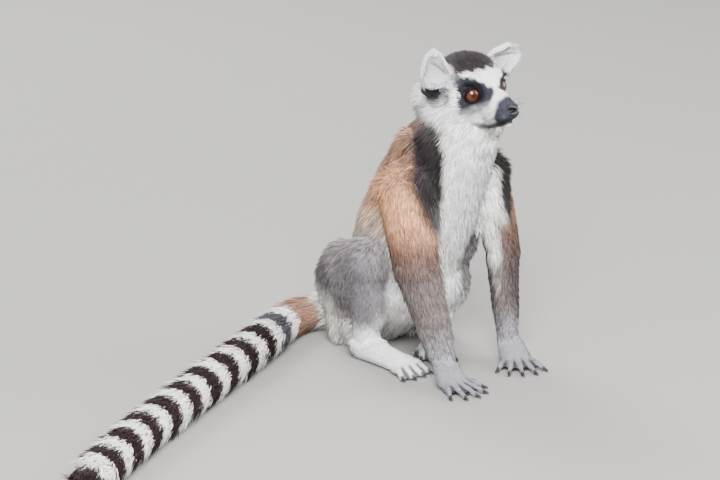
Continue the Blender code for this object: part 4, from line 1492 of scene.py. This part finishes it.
class LEMUR_OT_whiskers(bpy.types.Operator):
    """Sets fine dark whiskers on the muzzle and over the eyes"""

    bl_idname = "lemur.whiskers"
    bl_label = "Whiskers"

    def execute(self, context):
        random = np.random.default_rng(31)
        roots, tips = [], []
        # Each whisker's root and way: four columns of three on the muzzle, and four over the eye
        rows = [
            ((9.5 - 0.9 * i, 38 + 4.0 * i, -15.0 - 3.2 * j), (1.0, 0.25 - 0.25 * j, 0.15 - 0.3 * j))
            for i in range(4)
            for j in range(3)
        ]
        rows += [((13.0 + 2.5 * i, 21.0, 11.0), (0.25 + 0.2 * i, 0.6, 0.9)) for i in range(4)]
        for sign in SIDES.values():
            for root, way in rows:
                way = np.array(way) + random.normal(scale=0.12, size=3)
                way /= np.linalg.norm(way)
                tip = np.array(root) + way * (17 + 9 * random.random())
                for place, found in ((root, roots), (tip, tips)):
                    found.append(on_head(place[0] * sign, place[1], place[2]))
        roots, tips = np.array(roots), np.array(tips)
        count = len(roots)
        sags = np.tile((0.0, 0.0, 1.2 * MM), (count, 1))
        sides = np.tile((0.1, 1.0, 0.2), (count, 1))
        spread = np.column_stack((np.linspace(0.1, 0.9, count), np.full(count, 0.5)))
        widths = np.full(count, 0.34 * MM)
        dark = plain_colours(BLACK, count)
        mesh = tuft_mesh("whiskers", roots, tips, sags, sides, widths, dark, spread, True)
        link_object("whiskers", mesh, whisker_material())
        return {"FINISHED"}


def whisker_material():
    """Whiskers of stiff dark horn, tapered and smooth, with a fine waxy shine."""
    material, tree, shader = new_material("whisker_bristle")
    tint = add_node(tree, "ShaderNodeAttribute", {"attribute_name": "coat"})
    tree.links.new(tint.outputs["Color"], shader.inputs["Base Color"])
    shader.inputs["Roughness"].default_value = 0.4
    return material


# Each lamp's name, place and width in metres, and power in watts
LAMPS = (
    ("key", (-1.4, -1.7, 1.7), 1.5, 235),
    ("fill", (1.9, -1.4, 1.1), 1.8, 74),
    ("back", (0.4, 2.0, 1.8), 1.4, 90),
)


class LEMUR_OT_stage(bpy.types.Operator):
    """Sets the pale floor, the soft lights and the camera"""

    bl_idname = "lemur.stage"
    bl_label = "Stage"

    def execute(self, context):
        props = context.scene.lemur_stage
        bm = bmesh.new()
        bmesh.ops.create_circle(bm, cap_ends=True, segments=96, radius=6.0)
        mesh = bpy.data.meshes.new("floor")
        bm.to_mesh(mesh)
        bm.free()
        floor = bpy.data.objects.new("floor", mesh)
        context.scene.collection.objects.link(floor)
        mesh.materials.append(floor_material(props))
        for name, place, size, power in LAMPS:
            light = bpy.data.lights.new(name, "AREA")
            light.shape = "DISK"
            light.size = size
            light.energy = power * props.light
            lamp = bpy.data.objects.new(name, light)
            lamp.location = place
            towards = Vector((-0.05, -0.05, 0.15)) - lamp.location
            lamp.rotation_euler = towards.to_track_quat("-Z", "Y").to_euler()
            context.scene.collection.objects.link(lamp)
        world = bpy.data.worlds.new("studio")
        world.use_nodes = True
        sky = world.node_tree.nodes["Background"]
        sky.inputs["Color"].default_value = (0.93, 0.95, 1.0, 1.0)
        sky.inputs["Strength"].default_value = 1.1 * props.light
        context.scene.world = world
        place_camera(context.scene)
        return {"FINISHED"}


def floor_material(props):
    """A studio floor of matt rolled paper: plain and pale, with a very faint fibre."""
    material, tree, shader = new_material("matt_backdrop_paper")
    place = add_node(tree, "ShaderNodeTexCoord")
    grain = {"Scale": per_metre(16.7), "Detail": 3.0}
    fibre = add_node(tree, "ShaderNodeTexNoise", grain, {"Vector": (place, "Object")})
    bump = add_node(tree, "ShaderNodeBump", {"Strength": 0.05, "Distance": MM}, {"Height": (fibre, "Fac")})
    tree.links.new(bump.outputs["Normal"], shader.inputs["Normal"])
    shader.inputs["Base Color"].default_value = (*props.floor, 1.0)
    shader.inputs["Roughness"].default_value = 0.9
    return material


def place_camera(scene):
    """A long lens, from before the animal's right shoulder and a little above it."""
    azimuth, elevation, distance = math.radians(-40), math.radians(17), 3.2
    back = Vector((
        math.sin(azimuth) * math.cos(elevation), -math.cos(azimuth) * math.cos(elevation), math.sin(elevation)
    ))
    right = Vector((math.cos(azimuth), math.sin(azimuth), 0))
    up = back.cross(right)
    # What it looks at, in metres to its own right and up from the origin
    target = right * -0.02205 + up * 0.104685 - Vector((0, 0, DROP * MM))
    camera = bpy.data.objects.new("camera", bpy.data.cameras.new("camera"))
    camera.data.sensor_width = 36
    camera.data.lens = 152.38
    camera.location = target + back * distance
    camera.rotation_euler = (-back).to_track_quat("-Z", "Y").to_euler()
    scene.collection.objects.link(camera)
    scene.camera = camera


class LEMUR_PT_panel(bpy.types.Panel):
    """Lists the lemur's pieces and their settings"""

    bl_idname = "LEMUR_PT_panel"
    bl_label = "Lemur"
    bl_space_type = "VIEW_3D"
    bl_region_type = "UI"
    bl_category = "Lemur"

    def draw(self, context):
        for props in (context.scene.lemur_coat, context.scene.lemur_eye, context.scene.lemur_stage):
            for name in props.__annotations__:
                self.layout.prop(props, name)
        for operator in OPERATORS:
            self.layout.operator(operator.bl_idname)


OPERATORS = (
    LEMUR_OT_skin, LEMUR_OT_coat, LEMUR_OT_eyes, LEMUR_OT_nose, LEMUR_OT_claws, LEMUR_OT_whiskers,
    LEMUR_OT_stage,
)
GROUPS = {"lemur_coat": LemurCoatProps, "lemur_eye": LemurEyeProps, "lemur_stage": LemurStageProps}
BONES = bones()


def register():
    for group in GROUPS.values():
        bpy.utils.register_class(group)
    for name, group in GROUPS.items():
        setattr(bpy.types.Scene, name, PointerProperty(type=group))
    for operator in OPERATORS:
        bpy.utils.register_class(operator)
    bpy.utils.register_class(LEMUR_PT_panel)


def unregister():
    bpy.utils.unregister_class(LEMUR_PT_panel)
    for operator in reversed(OPERATORS):
        bpy.utils.unregister_class(operator)
    for name in GROUPS:
        delattr(bpy.types.Scene, name)
    for group in reversed(list(GROUPS.values())):
        bpy.utils.unregister_class(group)


def main():
    register()
    bpy.ops.lemur.skin()
    bpy.ops.lemur.coat()
    bpy.ops.lemur.eyes()
    bpy.ops.lemur.nose()
    bpy.ops.lemur.claws()
    bpy.ops.lemur.whiskers()
    bpy.ops.lemur.stage()


if __name__ == "__main__":
    main()
